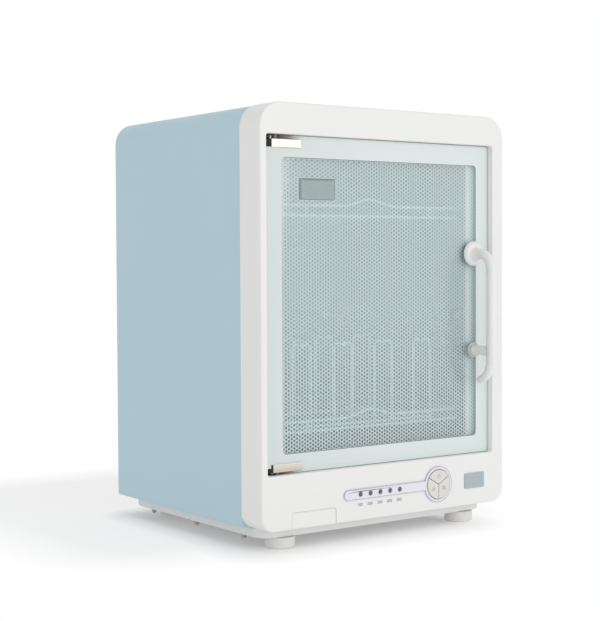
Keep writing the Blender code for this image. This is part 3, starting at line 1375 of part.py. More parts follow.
def build():
    build_front_frame()
    build_outer_shell()
    build_back_panel()
    build_chamber()
    build_plinth_and_feet()
    build_seal()
    door = joint_axis("door_axis", (HINGE_X, HINGE_Y, (GLASS_LOW + GLASS_HIGH) / 2))
    build_door(door)
    build_handle(door)
    build_controls()
    build_tray(joint_axis("tray_slide", (DRAIN_X, FRONT, TRAY_LOW)))
    middle = (RACK_LEFT + RACK_RIGHT) / 2
    upper = joint_axis("upper_rack_slide", (middle, RACK_FRONT, UPPER_RACK_Z))
    lower = joint_axis("lower_rack_slide", (middle, RACK_FRONT, LOWER_RACK_Z))
    build_rack("upper_rack", UPPER_RACK_Z, upper)
    build_rack("lower_rack", LOWER_RACK_Z, lower)
    for name, row in zip(("peg_row_front", "peg_row_back"), range(PEG_ROWS)):
        build_pegs(name, RACK_FRONT + PEG_FRONT_GAP + PEG_ROW_PITCH * row, lower)
    build_runners()
    build_lamp()
    build_fan(joint_axis("fan_axis", (HOLE_MIDDLE, FAN_FRONT, FAN_Z)))
    build_heater()
    build_electrics()


build()
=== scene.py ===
"""The finished look of a bottle steriliser, built around its CAD frame.

Metres, +Z up, +X to the right and +Y to the back of the case, as in the frame.
"""
import json
import math

import bmesh
import bpy
from bpy.props import FloatProperty, FloatVectorProperty, PointerProperty
from mathutils import Matrix, Vector


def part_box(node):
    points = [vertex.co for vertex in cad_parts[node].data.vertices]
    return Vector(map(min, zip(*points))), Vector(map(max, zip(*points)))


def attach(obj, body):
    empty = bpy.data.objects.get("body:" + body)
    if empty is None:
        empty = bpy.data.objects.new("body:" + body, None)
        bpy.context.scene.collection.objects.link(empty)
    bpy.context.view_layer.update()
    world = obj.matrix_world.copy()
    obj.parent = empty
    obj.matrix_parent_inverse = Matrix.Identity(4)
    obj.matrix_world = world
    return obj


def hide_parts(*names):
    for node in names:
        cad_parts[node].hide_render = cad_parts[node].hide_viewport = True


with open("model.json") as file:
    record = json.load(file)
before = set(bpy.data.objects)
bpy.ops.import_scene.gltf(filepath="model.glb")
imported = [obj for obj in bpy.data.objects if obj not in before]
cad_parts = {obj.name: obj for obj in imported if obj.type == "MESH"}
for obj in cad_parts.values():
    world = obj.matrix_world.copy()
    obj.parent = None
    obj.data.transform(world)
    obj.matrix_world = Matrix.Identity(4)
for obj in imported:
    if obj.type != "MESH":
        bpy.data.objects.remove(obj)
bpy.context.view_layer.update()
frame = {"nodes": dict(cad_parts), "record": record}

bl_info = {
    "name": "Bottle steriliser",
    "version": (1, 0, 0),
    "blender": (4, 5, 0),
    "location": "View3D > Sidebar > Steriliser",
    "description": "Moulded case, printed glass door, racks, fan and finishes of a bottle steriliser",
    "category": "Object",
}

# Which body each node rides on
BODY_OF = {node: body for body, nodes in frame["record"]["behaviour"]["bodies"].items() for node in nodes}

# Clearances and walls of the frame
SEAT_GAP = 0.0003
TIGHT = 0.0004
FACE_WALL = 0.003
SIDE_WALL = 0.003
RETURN_WALL = 0.0025
RIM_WALL = 0.002
SHELL_WALL = 0.0018
SHELL_LIP = 0.012
SHELL_LIP_WALL = 0.0012
PLINTH_WALL = 0.002
DOOR_GAP = 0.0022
SEAL_REACH = 0.004
SEAL_INSET = 0.0006
PILLAR_RADIUS = 0.0025
PAD_HOLE = 0.0166
LAMP_HOLE = 0.0025
BUSH_HOLE = 0.0037
HOLE_MARGIN = 0.002
BOARD = 0.0016
FLAP_DROP = Vector((0, 0, 0.01))

# The pane is let out by this at its top, bottom and right, to the thin gap of the photograph
PANE_GROWTH = 0.0018

# Controls
STRIP_HALF = 0.00565
STRIP_LINE = 0.0009
TICK_SPOTS = (-0.049, 0.021)
FIGURE_LIFT = 0.00006
FIGURE_RELIEF = 0.00004
MARK_RADIUS = 0.0088
STROKE = 0.0002

# Handle's rosette, racks and the screws under the case
ROSE_PROFILE = [
    (0.0023, 0.006), (0.0088, 0.006), (0.0102, 0.0058), (0.0118, 0.0051), (0.0132, 0.0039), (0.0140, 0.0024),
    (0.0142, 0.0010), (0.0141, 0.0003), (0.0138, 0), (0.0023, 0),
]
RAIL_CORNER = 0.005
HUMP_WIDTH = 0.072
SCREW_SIDE = 0.153
SCREW_DEPTHS = (-0.0794, 0.0146, 0.1086)

# The photograph's camera: its place, its turn in degrees, its lens and sensor in millimetres, and its shift
CAMERA_SPOT = (-0.9851, -1.3179, 0.3033)
CAMERA_TURN = (35.688, 2.069, -0.267)
CAMERA_LENS = 81.89
CAMERA_SENSOR = 36
CAMERA_SHIFT = 0.021

# The door's print, each part by its left, right, bottom and top
FIELD = (-0.1338, 0.1396, 0.0997, 0.4095)
BORDER_HOLE = (-0.1374, 0.1348, 0.1006, 0.4091)
WINDOW = (-0.1116, -0.0646, 0.3661, 0.3880)
WINDOW_PAINTED_SHADE = (-0.1084, -0.0640, 0.3655, 0.3862)
PRINT_CORNER = 0.0045
WINDOW_CORNER = 0.001
DOT_MARGIN = 0.0012
FIELD_LINE = 0.0006
WINDOW_LINE = 0.0004
INK = 0.0001
FILM = 0.00015
CLIP_NOTCH = -0.1442

# Corner radii in the plane of the front
CASE_CORNER = 0.026
CASE_LOWER_CORNER = 0.016
SHELL_CORNER = 0.0253
SHELL_LOWER_CORNER = 0.0033
MOUTH_LOWER_CORNER = 0.0153
OPENING_CORNER = 0.003
HOLE_CORNER = 0.006
PLINTH_CORNER = 0.020
TRAY_CORNER = 0.004

# How finely round shapes are divided, and when their points are merged and their edges kept sharp
CORNER_STEPS = 12
EDGE_STEPS = 5
BAR_SIDES = 28
WIRE_SIDES = 10
TURN_SIDES = 40
SMALL_SIDES = 20
WELD = 0.00001
SHARP_ANGLE = math.radians(34)
FLAT_ANGLE = math.radians(0.4)

# Metals
ZINC = (0.62, 0.63, 0.64)
ALUMINIUM = (0.77, 0.78, 0.79)

TO_FRONT = Matrix(((1, 0, 0, 0), (0, 0, 1, 0), (0, 1, 0, 0), (0, 0, 0, 1)))
RIGHTWARD = Vector((1, 0, 0))
BACKWARD = Vector((0, 1, 0))
UPWARD = Vector((0, 0, 1))


class Outline:
    """A rounded rectangle that can be drawn in or let out, seen from the front or from above."""

    def __init__(self, low, high, corner, lower=None, grow=0.0, axes="xz"):
        across, along = axes
        self.left = getattr(low, across) - grow
        self.right = getattr(high, across) + grow
        self.low = getattr(low, along) - grow
        self.high = getattr(high, along) + grow
        self.corners = (lower or corner, corner)

    def ring(self, inset, depth):
        """The outline at a depth, drawn in by an inset."""
        corners = [max(corner - inset, TIGHT) for corner in self.corners]
        return (self.left + inset, self.right - inset, self.low + inset, self.high - inset, corners, depth)

    def bend(self, inset, depth, radius, start, end, steps=EDGE_STEPS):
        """Rings round an edge, about a middle that is given as an inset and a depth."""
        rings = []
        for step in range(steps + 1):
            angle = math.radians(start + (end - start) * step / steps)
            rings.append(self.ring(inset + radius * math.cos(angle), depth + radius * math.sin(angle)))
        return rings


def outlined(sides, corner):
    """An outline on the front by its left, right, bottom and top."""
    left, right, low, high = sides
    return Outline(Vector((left, 0, low)), Vector((right, 0, high)), corner)


CASE_LOW, CASE_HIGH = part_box("front_frame")
PANE_LOW, PANE_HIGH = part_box("door_glass")
SEAL_LOW, SEAL_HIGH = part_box("door_seal")
SHELL_LOW, SHELL_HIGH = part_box("outer_shell")
FILM_LOW, FILM_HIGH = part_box("control_bezel")
LENS_LOW, LENS_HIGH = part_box("indicator_lens_bar")
CASE = Outline(CASE_LOW, CASE_HIGH, CASE_CORNER, CASE_LOWER_CORNER)
OPENING = Outline(PANE_LOW, PANE_HIGH, OPENING_CORNER, grow=DOOR_GAP)
HOLE = Outline(SEAL_LOW, SEAL_HIGH, HOLE_CORNER, grow=-SEAL_REACH)
SHELL = Outline(SHELL_LOW, SHELL_HIGH, SHELL_CORNER, SHELL_LOWER_CORNER)
MOUTH = Outline(SHELL_LOW, SHELL_HIGH, SHELL_CORNER, MOUTH_LOWER_CORNER)
FRONT = CASE_LOW.y
RIM_FRONT = SEAL_HIGH.y + SEAT_GAP
RIM_BACK = RIM_FRONT + RIM_WALL
STRIP_Z = (FILM_LOW.z + FILM_HIGH.z) / 2
PAD_RADIUS = (FILM_HIGH.z - FILM_LOW.z) / 2
PAD_X = FILM_HIGH.x - PAD_RADIUS
LENS_REACH = (LENS_HIGH.z - LENS_LOW.z) / 2
LAMPS = 5
LAMP_SPOTS = [
    LENS_LOW.x + LENS_REACH + (LENS_HIGH.x - LENS_LOW.x - 2 * LENS_REACH) * index / (LAMPS - 1)
    for index in range(LAMPS)
]


def tint(red, green, blue):
    """A colour as it is seen on a screen, in the linear values that shaders take."""
    def linear(value):
        share = value / 255
        return share / 12.92 if share <= 0.04045 else ((share + 0.055) / 1.055) ** 2.4
    return (linear(red), linear(green), linear(blue))


def shaded(colour, factor):
    """A colour made darker or paler."""
    return tuple(min(channel * factor, 1.0) for channel in colour)


def length(name, description, default):
    """A size that the sidebar shows."""
    return FloatProperty(
        name=name, description=description, default=default, min=0, subtype="DISTANCE", unit="LENGTH", precision=5
    )


def colour(name, description, default):
    """A colour that the sidebar shows."""
    return FloatVectorProperty(
        name=name, description=description, default=default, min=0, max=1, size=3, subtype="COLOR"
    )


class SteriliserSizes(bpy.types.PropertyGroup):
    """Sizes of the finished pieces that the frame leaves free."""

    frame_edge: length("Frame edge", "Radius of the moulding's front edge", 0.002)
    opening_edge: length("Opening edge", "Radius of the edge round the door opening", 0.0014)
    small_edge: length("Small edge", "Radius of the edges of small pieces", 0.0005)
    dot_radius: length("Dot radius", "Radius of the clear dots in the door's print", 0.0013)
    dot_column: length("Dot column", "Distance from one column of dots to the next", 0.0035)
    dot_row: length("Dot row", "Distance between neighbouring dots in a column", 0.00405)
    rail_radius: length("Rail radius", "Radius of the racks' outer wires", 0.0016)
    wire_radius: length("Wire radius", "Radius of the racks' inner wires", 0.0012)
    screw_head: length("Screw head", "Radius of the heads of the case screws", 0.003)
    numeral_height: length("Numeral height", "Height of the figures under the lamps", 0.0050)


class SteriliserColours(bpy.types.PropertyGroup):
    """Colours of the finished pieces."""

    white: colour("White", "Frame, handle and tray", (0.83, 0.83, 0.82))
    blue: colour("Blue", "Outer shell", (0.49, 0.655, 0.73))
    plinth: colour("Plinth", "Plinth under the case", (0.76, 0.765, 0.76))
    feet: colour("Feet", "Rubber feet", (0.74, 0.725, 0.70))
    mint: colour("Mint", "Border and lattice of the door's print", (0.79, 0.868, 0.853))
    dot_outline: colour("Dot outline", "Line round the dotted field", tint(120, 138, 142))
    window: colour("Window", "Tinted window in the door's print", tint(182, 194, 193))
    lavender: colour("Lavender", "Film of the control strip", tint(229, 228, 235))
    lavender_line: colour("Lavender line", "Outline of the control strip", tint(192, 189, 206))
    key_caps: colour("Keys", "Three sector keys", tint(220, 218, 212))
    badge: colour("Badge", "Bare plate at the right", tint(168, 181, 187))


class Value:
    """An output of a shader node, which can stand in a sum with numbers and other outputs."""

    def __init__(self, finish, socket):
        self.finish = finish
        self.socket = socket

    def sum(self, operation, first, second):
        return self.finish.node("ShaderNodeMath", {"operation": operation}, {0: first, 1: second})

    def __add__(self, other):
        return self.sum("ADD", self, other)

    def __radd__(self, other):
        return self.sum("ADD", other, self)

    def __sub__(self, other):
        return self.sum("SUBTRACT", self, other)

    def __rsub__(self, other):
        return self.sum("SUBTRACT", other, self)

    def __mul__(self, other):
        return self.sum("MULTIPLY", self, other)

    def __rmul__(self, other):
        return self.sum("MULTIPLY", other, self)

    def __pow__(self, other):
        return self.sum("POWER", self, other)

    def __lt__(self, other):
        return self.sum("LESS_THAN", self, other)

    def __gt__(self, other):
        return self.sum("GREATER_THAN", self, other)

    def to(self, operation, other=0.0):
        return self.sum(operation, self, other)


class Finish:
    """A material that is being put together."""

    def __init__(self, name, kind="materials"):
        self.material = getattr(bpy.data, kind).new(name)
        self.material.use_nodes = True
        self.tree = self.material.node_tree
        self.tree.nodes.clear()
        self.place = self.node("ShaderNodeTexCoord", output="Object")

    def node(self, kind, settings=None, inputs=None, output=0):
        """Add a node: its settings first, then the values or links of its sockets."""
        made = self.tree.nodes.new(kind)
        for name, value in (settings or {}).items():
            setattr(made, name, value)
        for name, value in (inputs or {}).items():
            if isinstance(value, Value):
                self.tree.links.new(value.socket, made.inputs[name])
            else:
                made.inputs[name].default_value = value
        return Value(self, made.outputs[output]) if made.outputs else made

    def axes(self):
        """The three parts of the place on the object."""
        parts = self.node("ShaderNodeSeparateXYZ", inputs={0: self.place})
        return [Value(self, socket) for socket in parts.socket.node.outputs]

    def clouds(self, scale, detail=3.0, stretch=None):
        """Soft noise on the object, squeezed along each axis where a stretch is given."""
        place = self.place
        if stretch:
            place = self.node("ShaderNodeMapping", inputs={"Vector": place, "Scale": stretch})
        return self.node("ShaderNodeTexNoise", inputs={"Vector": place, "Scale": scale, "Detail": detail})

    def ranged(self, value, low, high, start=0.3, end=0.7):
        """A value from start to end, spread from low to high."""
        names = {"Value": value, "From Min": start, "From Max": end, "To Min": low, "To Max": high}
        return self.node("ShaderNodeMapRange", inputs=names)

    def blend(self, factor, first, second):
        """A colour between two colours."""
        first, second = (value if isinstance(value, Value) else (*value, 1.0) for value in (first, second))
        return self.node("ShaderNodeMix", {"data_type": "RGBA"}, {"Factor": factor, 6: first, 7: second}, 2)

    def relief(self, height, distance):
        return self.node("ShaderNodeBump", inputs={"Height": height, "Strength": 1.0, "Distance": distance})

    def outside(self, across, along, sides, corner):
        """How far a place lies outside a rounded rectangle; less than nothing inside it."""
        left, right, low, high = sides
        wide = (across - (left + right) / 2).to("ABSOLUTE") - ((right - left) / 2 - corner)
        tall = (along - (low + high) / 2).to("ABSOLUTE") - ((high - low) / 2 - corner)
        wide_out, tall_out = wide.to("MAXIMUM", 0.0), tall.to("MAXIMUM", 0.0)
        far = (wide_out * wide_out + tall_out * tall_out).to("SQRT")
        return far + wide.to("MAXIMUM", tall).to("MINIMUM", 0.0) - corner

    def seen(self):
        """One where the camera looks, straight or by way of a gloss or glass, and nothing for other light."""
        rays = self.node("ShaderNodeLightPath").socket.node.outputs
        camera, gloss, glass = (
            Value(self, rays[name]) for name in ("Is Camera Ray", "Is Glossy Ray", "Is Transmission Ray")
        )
        return camera.to("MAXIMUM", gloss).to("MAXIMUM", glass)

    def principled(self, inputs):
        return self.node("ShaderNodeBsdfPrincipled", inputs=inputs)

    def see_through(self, colour):
        return self.node("ShaderNodeBsdfTransparent", inputs={"Color": (*colour, 1)})

    def shadow_ray(self):
        """One for the light that would cast this piece's shadow."""
        return self.node("ShaderNodeLightPath", output="Is Shadow Ray")

    def mixed(self, factor, first, second):
        return self.node("ShaderNodeMixShader", inputs={"Fac": factor, 1: first, 2: second})

    def done(self, surface):
        """The material, with its surface given as a shader or as the inputs of a Principled one."""
        surface = self.principled(surface) if isinstance(surface, dict) else surface
        self.node("ShaderNodeOutputMaterial", inputs={"Surface": surface})
        return self.material


def once(make):
    """Make a material the first time that its name is asked for, and give the same one after that."""
    def found(name, *values, **named):
        name = "finished_" + name
        return bpy.data.materials.get(name) or make(name, *values, **named)
    return found


@once
def moulded(name, base, rough=0.38, wear=0.03, coat=0.0, gloss=0.5):
    """Moulded plastic: faint clouds in the colour, uneven gloss and a fine grain."""
    finish = Finish(name)
    clouds = finish.clouds(9.0, 4.0)
    fine = finish.clouds(1400.0, 2.0)
    return finish.done({
        "Base Color": finish.blend(clouds, shaded(base, 1 - wear), shaded(base, 1 + wear)),
        "Roughness": finish.ranged(finish.clouds(30.0), rough - 0.05, rough + 0.05),
        "Specular IOR Level": gloss,
        "Coat Weight": coat,
        "Coat Roughness": 0.15,
        "Normal": finish.relief(fine, 0.000012),
    })


@once
def rubbery(name, base):
    """Soft rubber: matt, a little dusty and finely grained."""
    finish = Finish(name)
    dust = finish.clouds(40.0, 5.0)
    return finish.done({
        "Base Color": finish.blend(finish.ranged(dust, 0, 1), shaded(base, 0.93), shaded(base, 1.05)),
        "Roughness": finish.ranged(dust, 0.62, 0.76),
        "Normal": finish.relief(finish.clouds(900.0), 0.00003),
    })


@once
def metallic(name, base, rough, stretch=(1.0, 1.0, 1.0), scale=60.0, relief=0.00001, metal=1.0):
    """Metal with a drawn or rolled grain that runs where the stretch is small."""
    finish = Finish(name)
    grain = finish.clouds(scale, 4.0, stretch)
    stains = finish.clouds(14.0)
    return finish.done({
        "Base Color": finish.blend(finish.ranged(stains, 0, 1), shaded(base, 0.94), base),
        "Metallic": metal,
        "Roughness": finish.ranged(grain, rough * 0.8, rough * 1.25),
        "Normal": finish.relief(grain, relief),
    })


@once
def clear_glass(name, tone):
    """Thin clear glass: what is behind it shows through, under a shine that grows as it is seen aslant."""
    finish = Finish(name)
    smears = finish.clouds(12.0)
    shine = finish.node("ShaderNodeBsdfGlossy", inputs={
        "Color": (1, 1, 1, 1), "Roughness": finish.ranged(smears, 0.03, 0.08)
    })
    slant = finish.node("ShaderNodeLayerWeight", inputs={"Blend": 0.5}, output="Facing")
    return finish.done(finish.mixed(slant ** 5 * 0.96 + 0.04, finish.see_through(tone), shine))


@once
def tinted_plastic(name, base, rough=0.15):
    """Glossy see-through plastic, with its colour a little cloudy."""
    finish = Finish(name)
    clouds = finish.clouds(180.0, 2.0)
    return finish.done({
        "Base Color": finish.blend(clouds, shaded(base, 0.9), shaded(base, 1.08)),
        "Roughness": finish.ranged(clouds, rough - 0.04, rough + 0.06),
        "Transmission Weight": 0.35,
        "IOR": 1.49,
    })


@once
def milky_tube(name):
    """Quartz tube: milky glass that darkens towards its ends."""
    finish = Finish(name)
    x, _, _ = finish.axes()
    low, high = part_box("uv_lamp")
    ends = finish.ranged((x - (low.x + high.x) / 2).to("ABSOLUTE"), 0, 1, 0.075, 0.1)
    return finish.done({
        "Base Color": finish.blend(ends, (0.80, 0.84, 0.90), (0.38, 0.38, 0.42)),
        "Roughness": finish.ranged(finish.clouds(60.0), 0.06, 0.16),
        "Transmission Weight": 0.4,
        "IOR": 1.46,
    })


@once
def circuit_board(name):
    """Green board with paler tracks and small solder dots."""
    finish = Finish(name)
    place = finish.place
    cells = finish.node("ShaderNodeTexVoronoi", {"distance": "CHEBYCHEV"}, {"Vector": place, "Scale": 260.0})
    tracks = (cells > 0.38) * (finish.clouds(90.0) > 0.48)
    dots = finish.node("ShaderNodeTexVoronoi", inputs={"Vector": place, "Scale": 170.0}) < 0.12
    green = finish.blend(tracks, (0.03, 0.15, 0.07), (0.06, 0.24, 0.12))
    return finish.done({
        "Base Color": finish.blend(dots, green, (0.55, 0.56, 0.55)),
        "Roughness": finish.ranged(finish.clouds(40.0), 0.35, 0.5),
        "Metallic": dots * 0.8,
    })


def shape_of(made, name):
    """A bmesh as an object of the scene."""
    mesh = bpy.data.meshes.new(name)
    made.to_mesh(mesh)
    made.free()
    thing = bpy.data.objects.new(name, mesh)
    bpy.context.scene.collection.objects.link(thing)
    return thing


def joined(*shapes):
    """Several shapes as one, without welding them."""
    whole = shapes[0]
    for shape in shapes[1:]:
        mesh = bpy.data.meshes.new("joined")
        shape.to_mesh(mesh)
        shape.free()
        whole.from_mesh(mesh)
        bpy.data.meshes.remove(mesh)
    return whole


def combined(made, tool, operation="DIFFERENCE"):
    """A shape cut by another one, which is used up."""
    solids = [shape_of(made, "solid"), shape_of(tool, "tool")]
    cut = solids[0].modifiers.new("cut", "BOOLEAN")
    cut.operation = operation
    cut.solver = "EXACT"
    cut.object = solids[1]
    bpy.context.view_layer.update()
    result = bmesh.new()
    result.from_object(solids[0], bpy.context.evaluated_depsgraph_get())
    for solid in solids:
        mesh = solid.data
        bpy.data.objects.remove(solid)
        bpy.data.meshes.remove(mesh)
    return result


def tidied(made):
    """The shape with its faces turned outwards."""
    bmesh.ops.recalc_face_normals(made, faces=made.faces)
    return made


def corner_circles(ring):
    """The middle and the radius of each corner of a ring, by side and height."""
    left, right, low, high, corners, depth = ring
    circles = {}
    for upper, corner in enumerate(corners):
        level = high - corner if upper else low + corner
        circles[(False, upper > 0)] = (Vector((left + corner, level, depth)), corner)
        circles[(True, upper > 0)] = (Vector((right - corner, level, depth)), corner)
    return circles


def extruded(made, edges):
    """Draw a boundary on: the new points and the new boundary."""
    grown = bmesh.ops.extrude_edge_only(made, edges=edges)["geom"]
    verts = [part for part in grown if isinstance(part, bmesh.types.BMVert)]
    return verts, [part for part in grown if isinstance(part, bmesh.types.BMEdge) and part.is_boundary]


def shut(made, edges, closed):
    """Weld a skin that comes back to its start, or cap its end."""
    if closed:
        bmesh.ops.remove_doubles(made, verts=made.verts, dist=WELD)
    else:
        bmesh.ops.contextual_create(made, geom=edges)


def lofted(rings, closed=False, facing="front"):
    """A skin through rounded rectangles: capped at both ends, or closed round on itself."""
    left, right, low, high, corners, depth = rings[0]
    made = bmesh.new()
    bmesh.ops.create_grid(made, x_segments=1, y_segments=1, size=0.5)
    bmesh.ops.scale(made, vec=(right - left, high - low, 1), verts=made.verts)
    bmesh.ops.translate(made, vec=((left + right) / 2, (low + high) / 2, depth), verts=made.verts)
    for upper, corner in enumerate(corners):
        ends = [vert for vert in made.verts if (vert.co.y > (low + high) / 2) == (upper > 0)]
        bmesh.ops.bevel(
            made, geom=ends, offset=corner, offset_type="OFFSET", affect="VERTICES", segments=CORNER_STEPS,
            profile=0.5, material=-1,
        )
    if closed:
        bmesh.ops.delete(made, geom=made.faces[:], context="FACES_ONLY")
    edges = made.edges[:]
    for before, after in zip(rings, rings[1:]):
        verts, edges = extruded(made, edges)
        middle = Vector(((before[0] + before[1]) / 2, (before[2] + before[3]) / 2))
        old, new = corner_circles(before), corner_circles(after)
        groups = {key: [] for key in old}
        for vert in verts:
            groups[(vert.co.x > middle.x, vert.co.y > middle.y)].append(vert)
        for key, group in groups.items():
            scale = Matrix.Scale(new[key][1] / old[key][1], 4)
            move = Matrix.Translation(new[key][0]) @ scale @ Matrix.Translation(-old[key][0])
            bmesh.ops.transform(made, matrix=move, verts=group)
    shut(made, edges, closed)
    if facing == "front":
        bmesh.ops.transform(made, matrix=TO_FRONT, verts=made.verts)
    return tidied(made)


def swept(path, radii, sides, reference, closed=False):
    """A round bar along a path, with one radius or one for each point."""
    count = len(path)
    radii = radii if isinstance(radii, list) else [radii] * count
    stations = []
    for index, point in enumerate(path):
        ahead = path[(index + 1) % count] if closed else path[min(index + 1, count - 1)]
        behind = path[index - 1] if closed or index else path[0]
        along = (Vector(ahead) - Vector(behind)).normalized()
        side = reference.cross(along).normalized()
        turn = Matrix((side, along.cross(side), along)).transposed().to_4x4()
        size = Matrix.Diagonal((radii[index], radii[index], 1, 1))
        stations.append(Matrix.Translation(point) @ turn @ size)
    if closed:
        stations.append(stations[0])
    made = bmesh.new()
    bmesh.ops.create_circle(made, cap_ends=not closed, segments=sides, radius=1.0)
    bmesh.ops.transform(made, matrix=stations[0], verts=made.verts)
    edges = made.edges[:]
    for before, after in zip(stations, stations[1:]):
        verts, edges = extruded(made, edges)
        bmesh.ops.transform(made, matrix=after @ before.inverted(), verts=verts)
    shut(made, edges, closed)
    return tidied(made)


def between(first, second, share):
    """A value a share of the way from the first to the second."""
    return first + (second - first) * share


def arc(middle, radius, start, end, steps, axes):
    """Points round part of a circle that lies along two axes."""
    across, along = ("xyz".index(axis) for axis in axes)
    points = []
    for step in range(steps + 1):
        angle = math.radians(between(start, end, step / steps))
        point = list(middle)
        point[across] += radius * math.cos(angle)
        point[along] += radius * math.sin(angle)
        points.append(tuple(point))
    return points


def aimed(spot, direction):
    """The turn and move that take the upward axis to a direction from a spot."""
    return Matrix.Translation(spot) @ Vector(direction).to_track_quat("Z", "Y").to_matrix().to_4x4()


def spun(profile, spot, direction, sides=TURN_SIDES, closed=False):
    """A profile of radii and heights, turned about a line that starts at the spot."""
    points = [Vector((radius, 0, height)) for radius, height in profile]
    points += points[:1] if closed else []
    made = bmesh.new()
    verts = bmesh.ops.create_vert(made, co=points[0])["vert"]
    for before, after in zip(points, points[1:]):
        verts = bmesh.ops.extrude_vert_indiv(made, verts=verts)["verts"]
        bmesh.ops.translate(made, verts=verts, vec=after - before)
    bmesh.ops.spin(
        made, geom=made.verts[:] + made.edges[:], cent=(0, 0, 0), axis=(0, 0, 1), angle=2 * math.pi,
        steps=sides, use_merge=True,
    )
    bmesh.ops.remove_doubles(made, verts=made.verts, dist=WELD)
    bmesh.ops.transform(made, matrix=aimed(spot, direction), verts=made.verts)
    return tidied(made)


def rod(spot, direction, radius, reach, sides=SMALL_SIDES, edge=0.0):
    """A round bar with its edges taken off."""
    profile = [(0, 0), (radius - edge, 0), (radius, edge)]
    profile += [(radius, reach - edge), (radius - edge, reach), (0, reach)]
    return spun(profile, spot, direction, sides)


def ease(made, width, segments=2):
    """Round the sharp edges of a shape."""
    sharp = [edge for edge in made.edges if edge.is_manifold and edge.calc_face_angle(0) > SHARP_ANGLE]
    if width and sharp:
        bmesh.ops.bevel(
            made, geom=sharp, offset=width, offset_type="OFFSET", affect="EDGES", segments=segments,
            profile=0.5, material=-1, clamp_overlap=True,
        )
    return made


def block(low, high, edge=0.0):
    """A box between two corners, with its edges rounded."""
    low, high = Vector(low), Vector(high)
    made = bmesh.new()
    bmesh.ops.create_cube(made, size=1)
    bmesh.ops.scale(made, vec=high - low, verts=made.verts)
    bmesh.ops.translate(made, vec=(low + high) / 2, verts=made.verts)
    return ease(made, edge)


def copied(node, width=0.0, segments=2):
    """A node of the frame with its triangles merged into faces and its sharp edges rounded."""
    made = bmesh.new()
    made.from_mesh(frame["nodes"][node].data)
    bmesh.ops.remove_doubles(made, verts=made.verts, dist=WELD)
    bmesh.ops.dissolve_limit(made, angle_limit=FLAT_ANGLE, verts=made.verts, edges=made.edges)
    return ease(tidied(made), width, segments)


def lettering(text, size, spot):
    """Raised figures on the front, by their middle."""
    curve = bpy.data.curves.new("figures", "FONT")
    curve.body = text
    curve.size = size
    curve.align_x = "CENTER"
    curve.align_y = "CENTER"
    curve.extrude = FIGURE_RELIEF
    thing = bpy.data.objects.new("figures", curve)
    bpy.context.scene.collection.objects.link(thing)
    bpy.context.view_layer.update()
    mesh = bpy.data.meshes.new_from_object(thing.evaluated_get(bpy.context.evaluated_depsgraph_get()))
    made = bmesh.new()
    made.from_mesh(mesh)
    bpy.data.meshes.remove(mesh)
    bpy.data.objects.remove(thing)
    bpy.data.curves.remove(curve)
    bmesh.ops.remove_doubles(made, verts=made.verts, dist=WELD / 10)
    upright = Matrix.Translation(spot) @ Matrix.Rotation(math.pi / 2, 4, "X")
    bmesh.ops.transform(made, matrix=upright, verts=made.verts)
    return made


def screw(spot, direction, radius, rise):
    """The domed head of a cross-headed screw."""
    profile = [(0, rise), (radius * 0.45, rise * 0.96), (radius * 0.8, rise * 0.72), (radius * 0.97, rise * 0.35)]
    profile += [(radius, 0), (0, 0)]
    head = spun(profile, (0, 0, 0), UPWARD, SMALL_SIDES)
    half, arm = radius * 0.11, radius * 0.6
    slots = [((-arm, -half), (arm, half)), ((-half, -arm), (half, arm))]
    for low, high in slots:
        head = combined(head, block((*low, rise * 0.45), (*high, rise * 1.5)))
    bmesh.ops.transform(head, matrix=aimed(spot, direction), verts=head.verts)
    return head


def place(name, made, material, *nodes, shown=True):
    """Put a shape in the scene: it rides with the first of the nodes, and stands for all of them."""
    piece = shape_of(made, name)
    piece.data.shade_smooth()
    piece.data.set_sharp_from_angle(angle=SHARP_ANGLE)
    piece.modifiers.new("even_shading", "WEIGHTED_NORMAL").keep_sharp = True
    piece.data.materials.append(material)
    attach(piece, BODY_OF[nodes[0]])
    if shown:
        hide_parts(*nodes)
    return piece


def finished(name, node, material, width=0.0, segments=2):
    """Put a node's own shape in the scene, with its sharp edges rounded by a width."""
    return place(name, copied(node, width, segments), material, node)


def screws(name, spots, direction, radius, rise, material, node):
    """Put screw heads in the scene as one piece, which rides with a node."""
    heads = joined(*[screw(spot, direction, radius, rise) for spot in spots])
    return place(name, heads, material, node, shown=False)


def dress(material, node):
    """Give a node of the frame that stays in sight a finished material."""
    for slot in frame["nodes"][node].material_slots:
        slot.material = material


def hue(name):
    """A colour as it is set in the sidebar."""
    return tuple(getattr(bpy.context.scene.steriliser_colours, name))


def white():
    return moulded("white_moulding", hue("white"))


def steel():
    return metallic("zinc_screw", ZINC, 0.36)


def chrome():
    return metallic("chrome_wire", (0.96, 0.97, 0.97), 0.3, scale=200.0, relief=0.000004, metal=0.1)


def black():
    return moulded("black_moulding", (0.03, 0.03, 0.032), 0.45, 0.2)


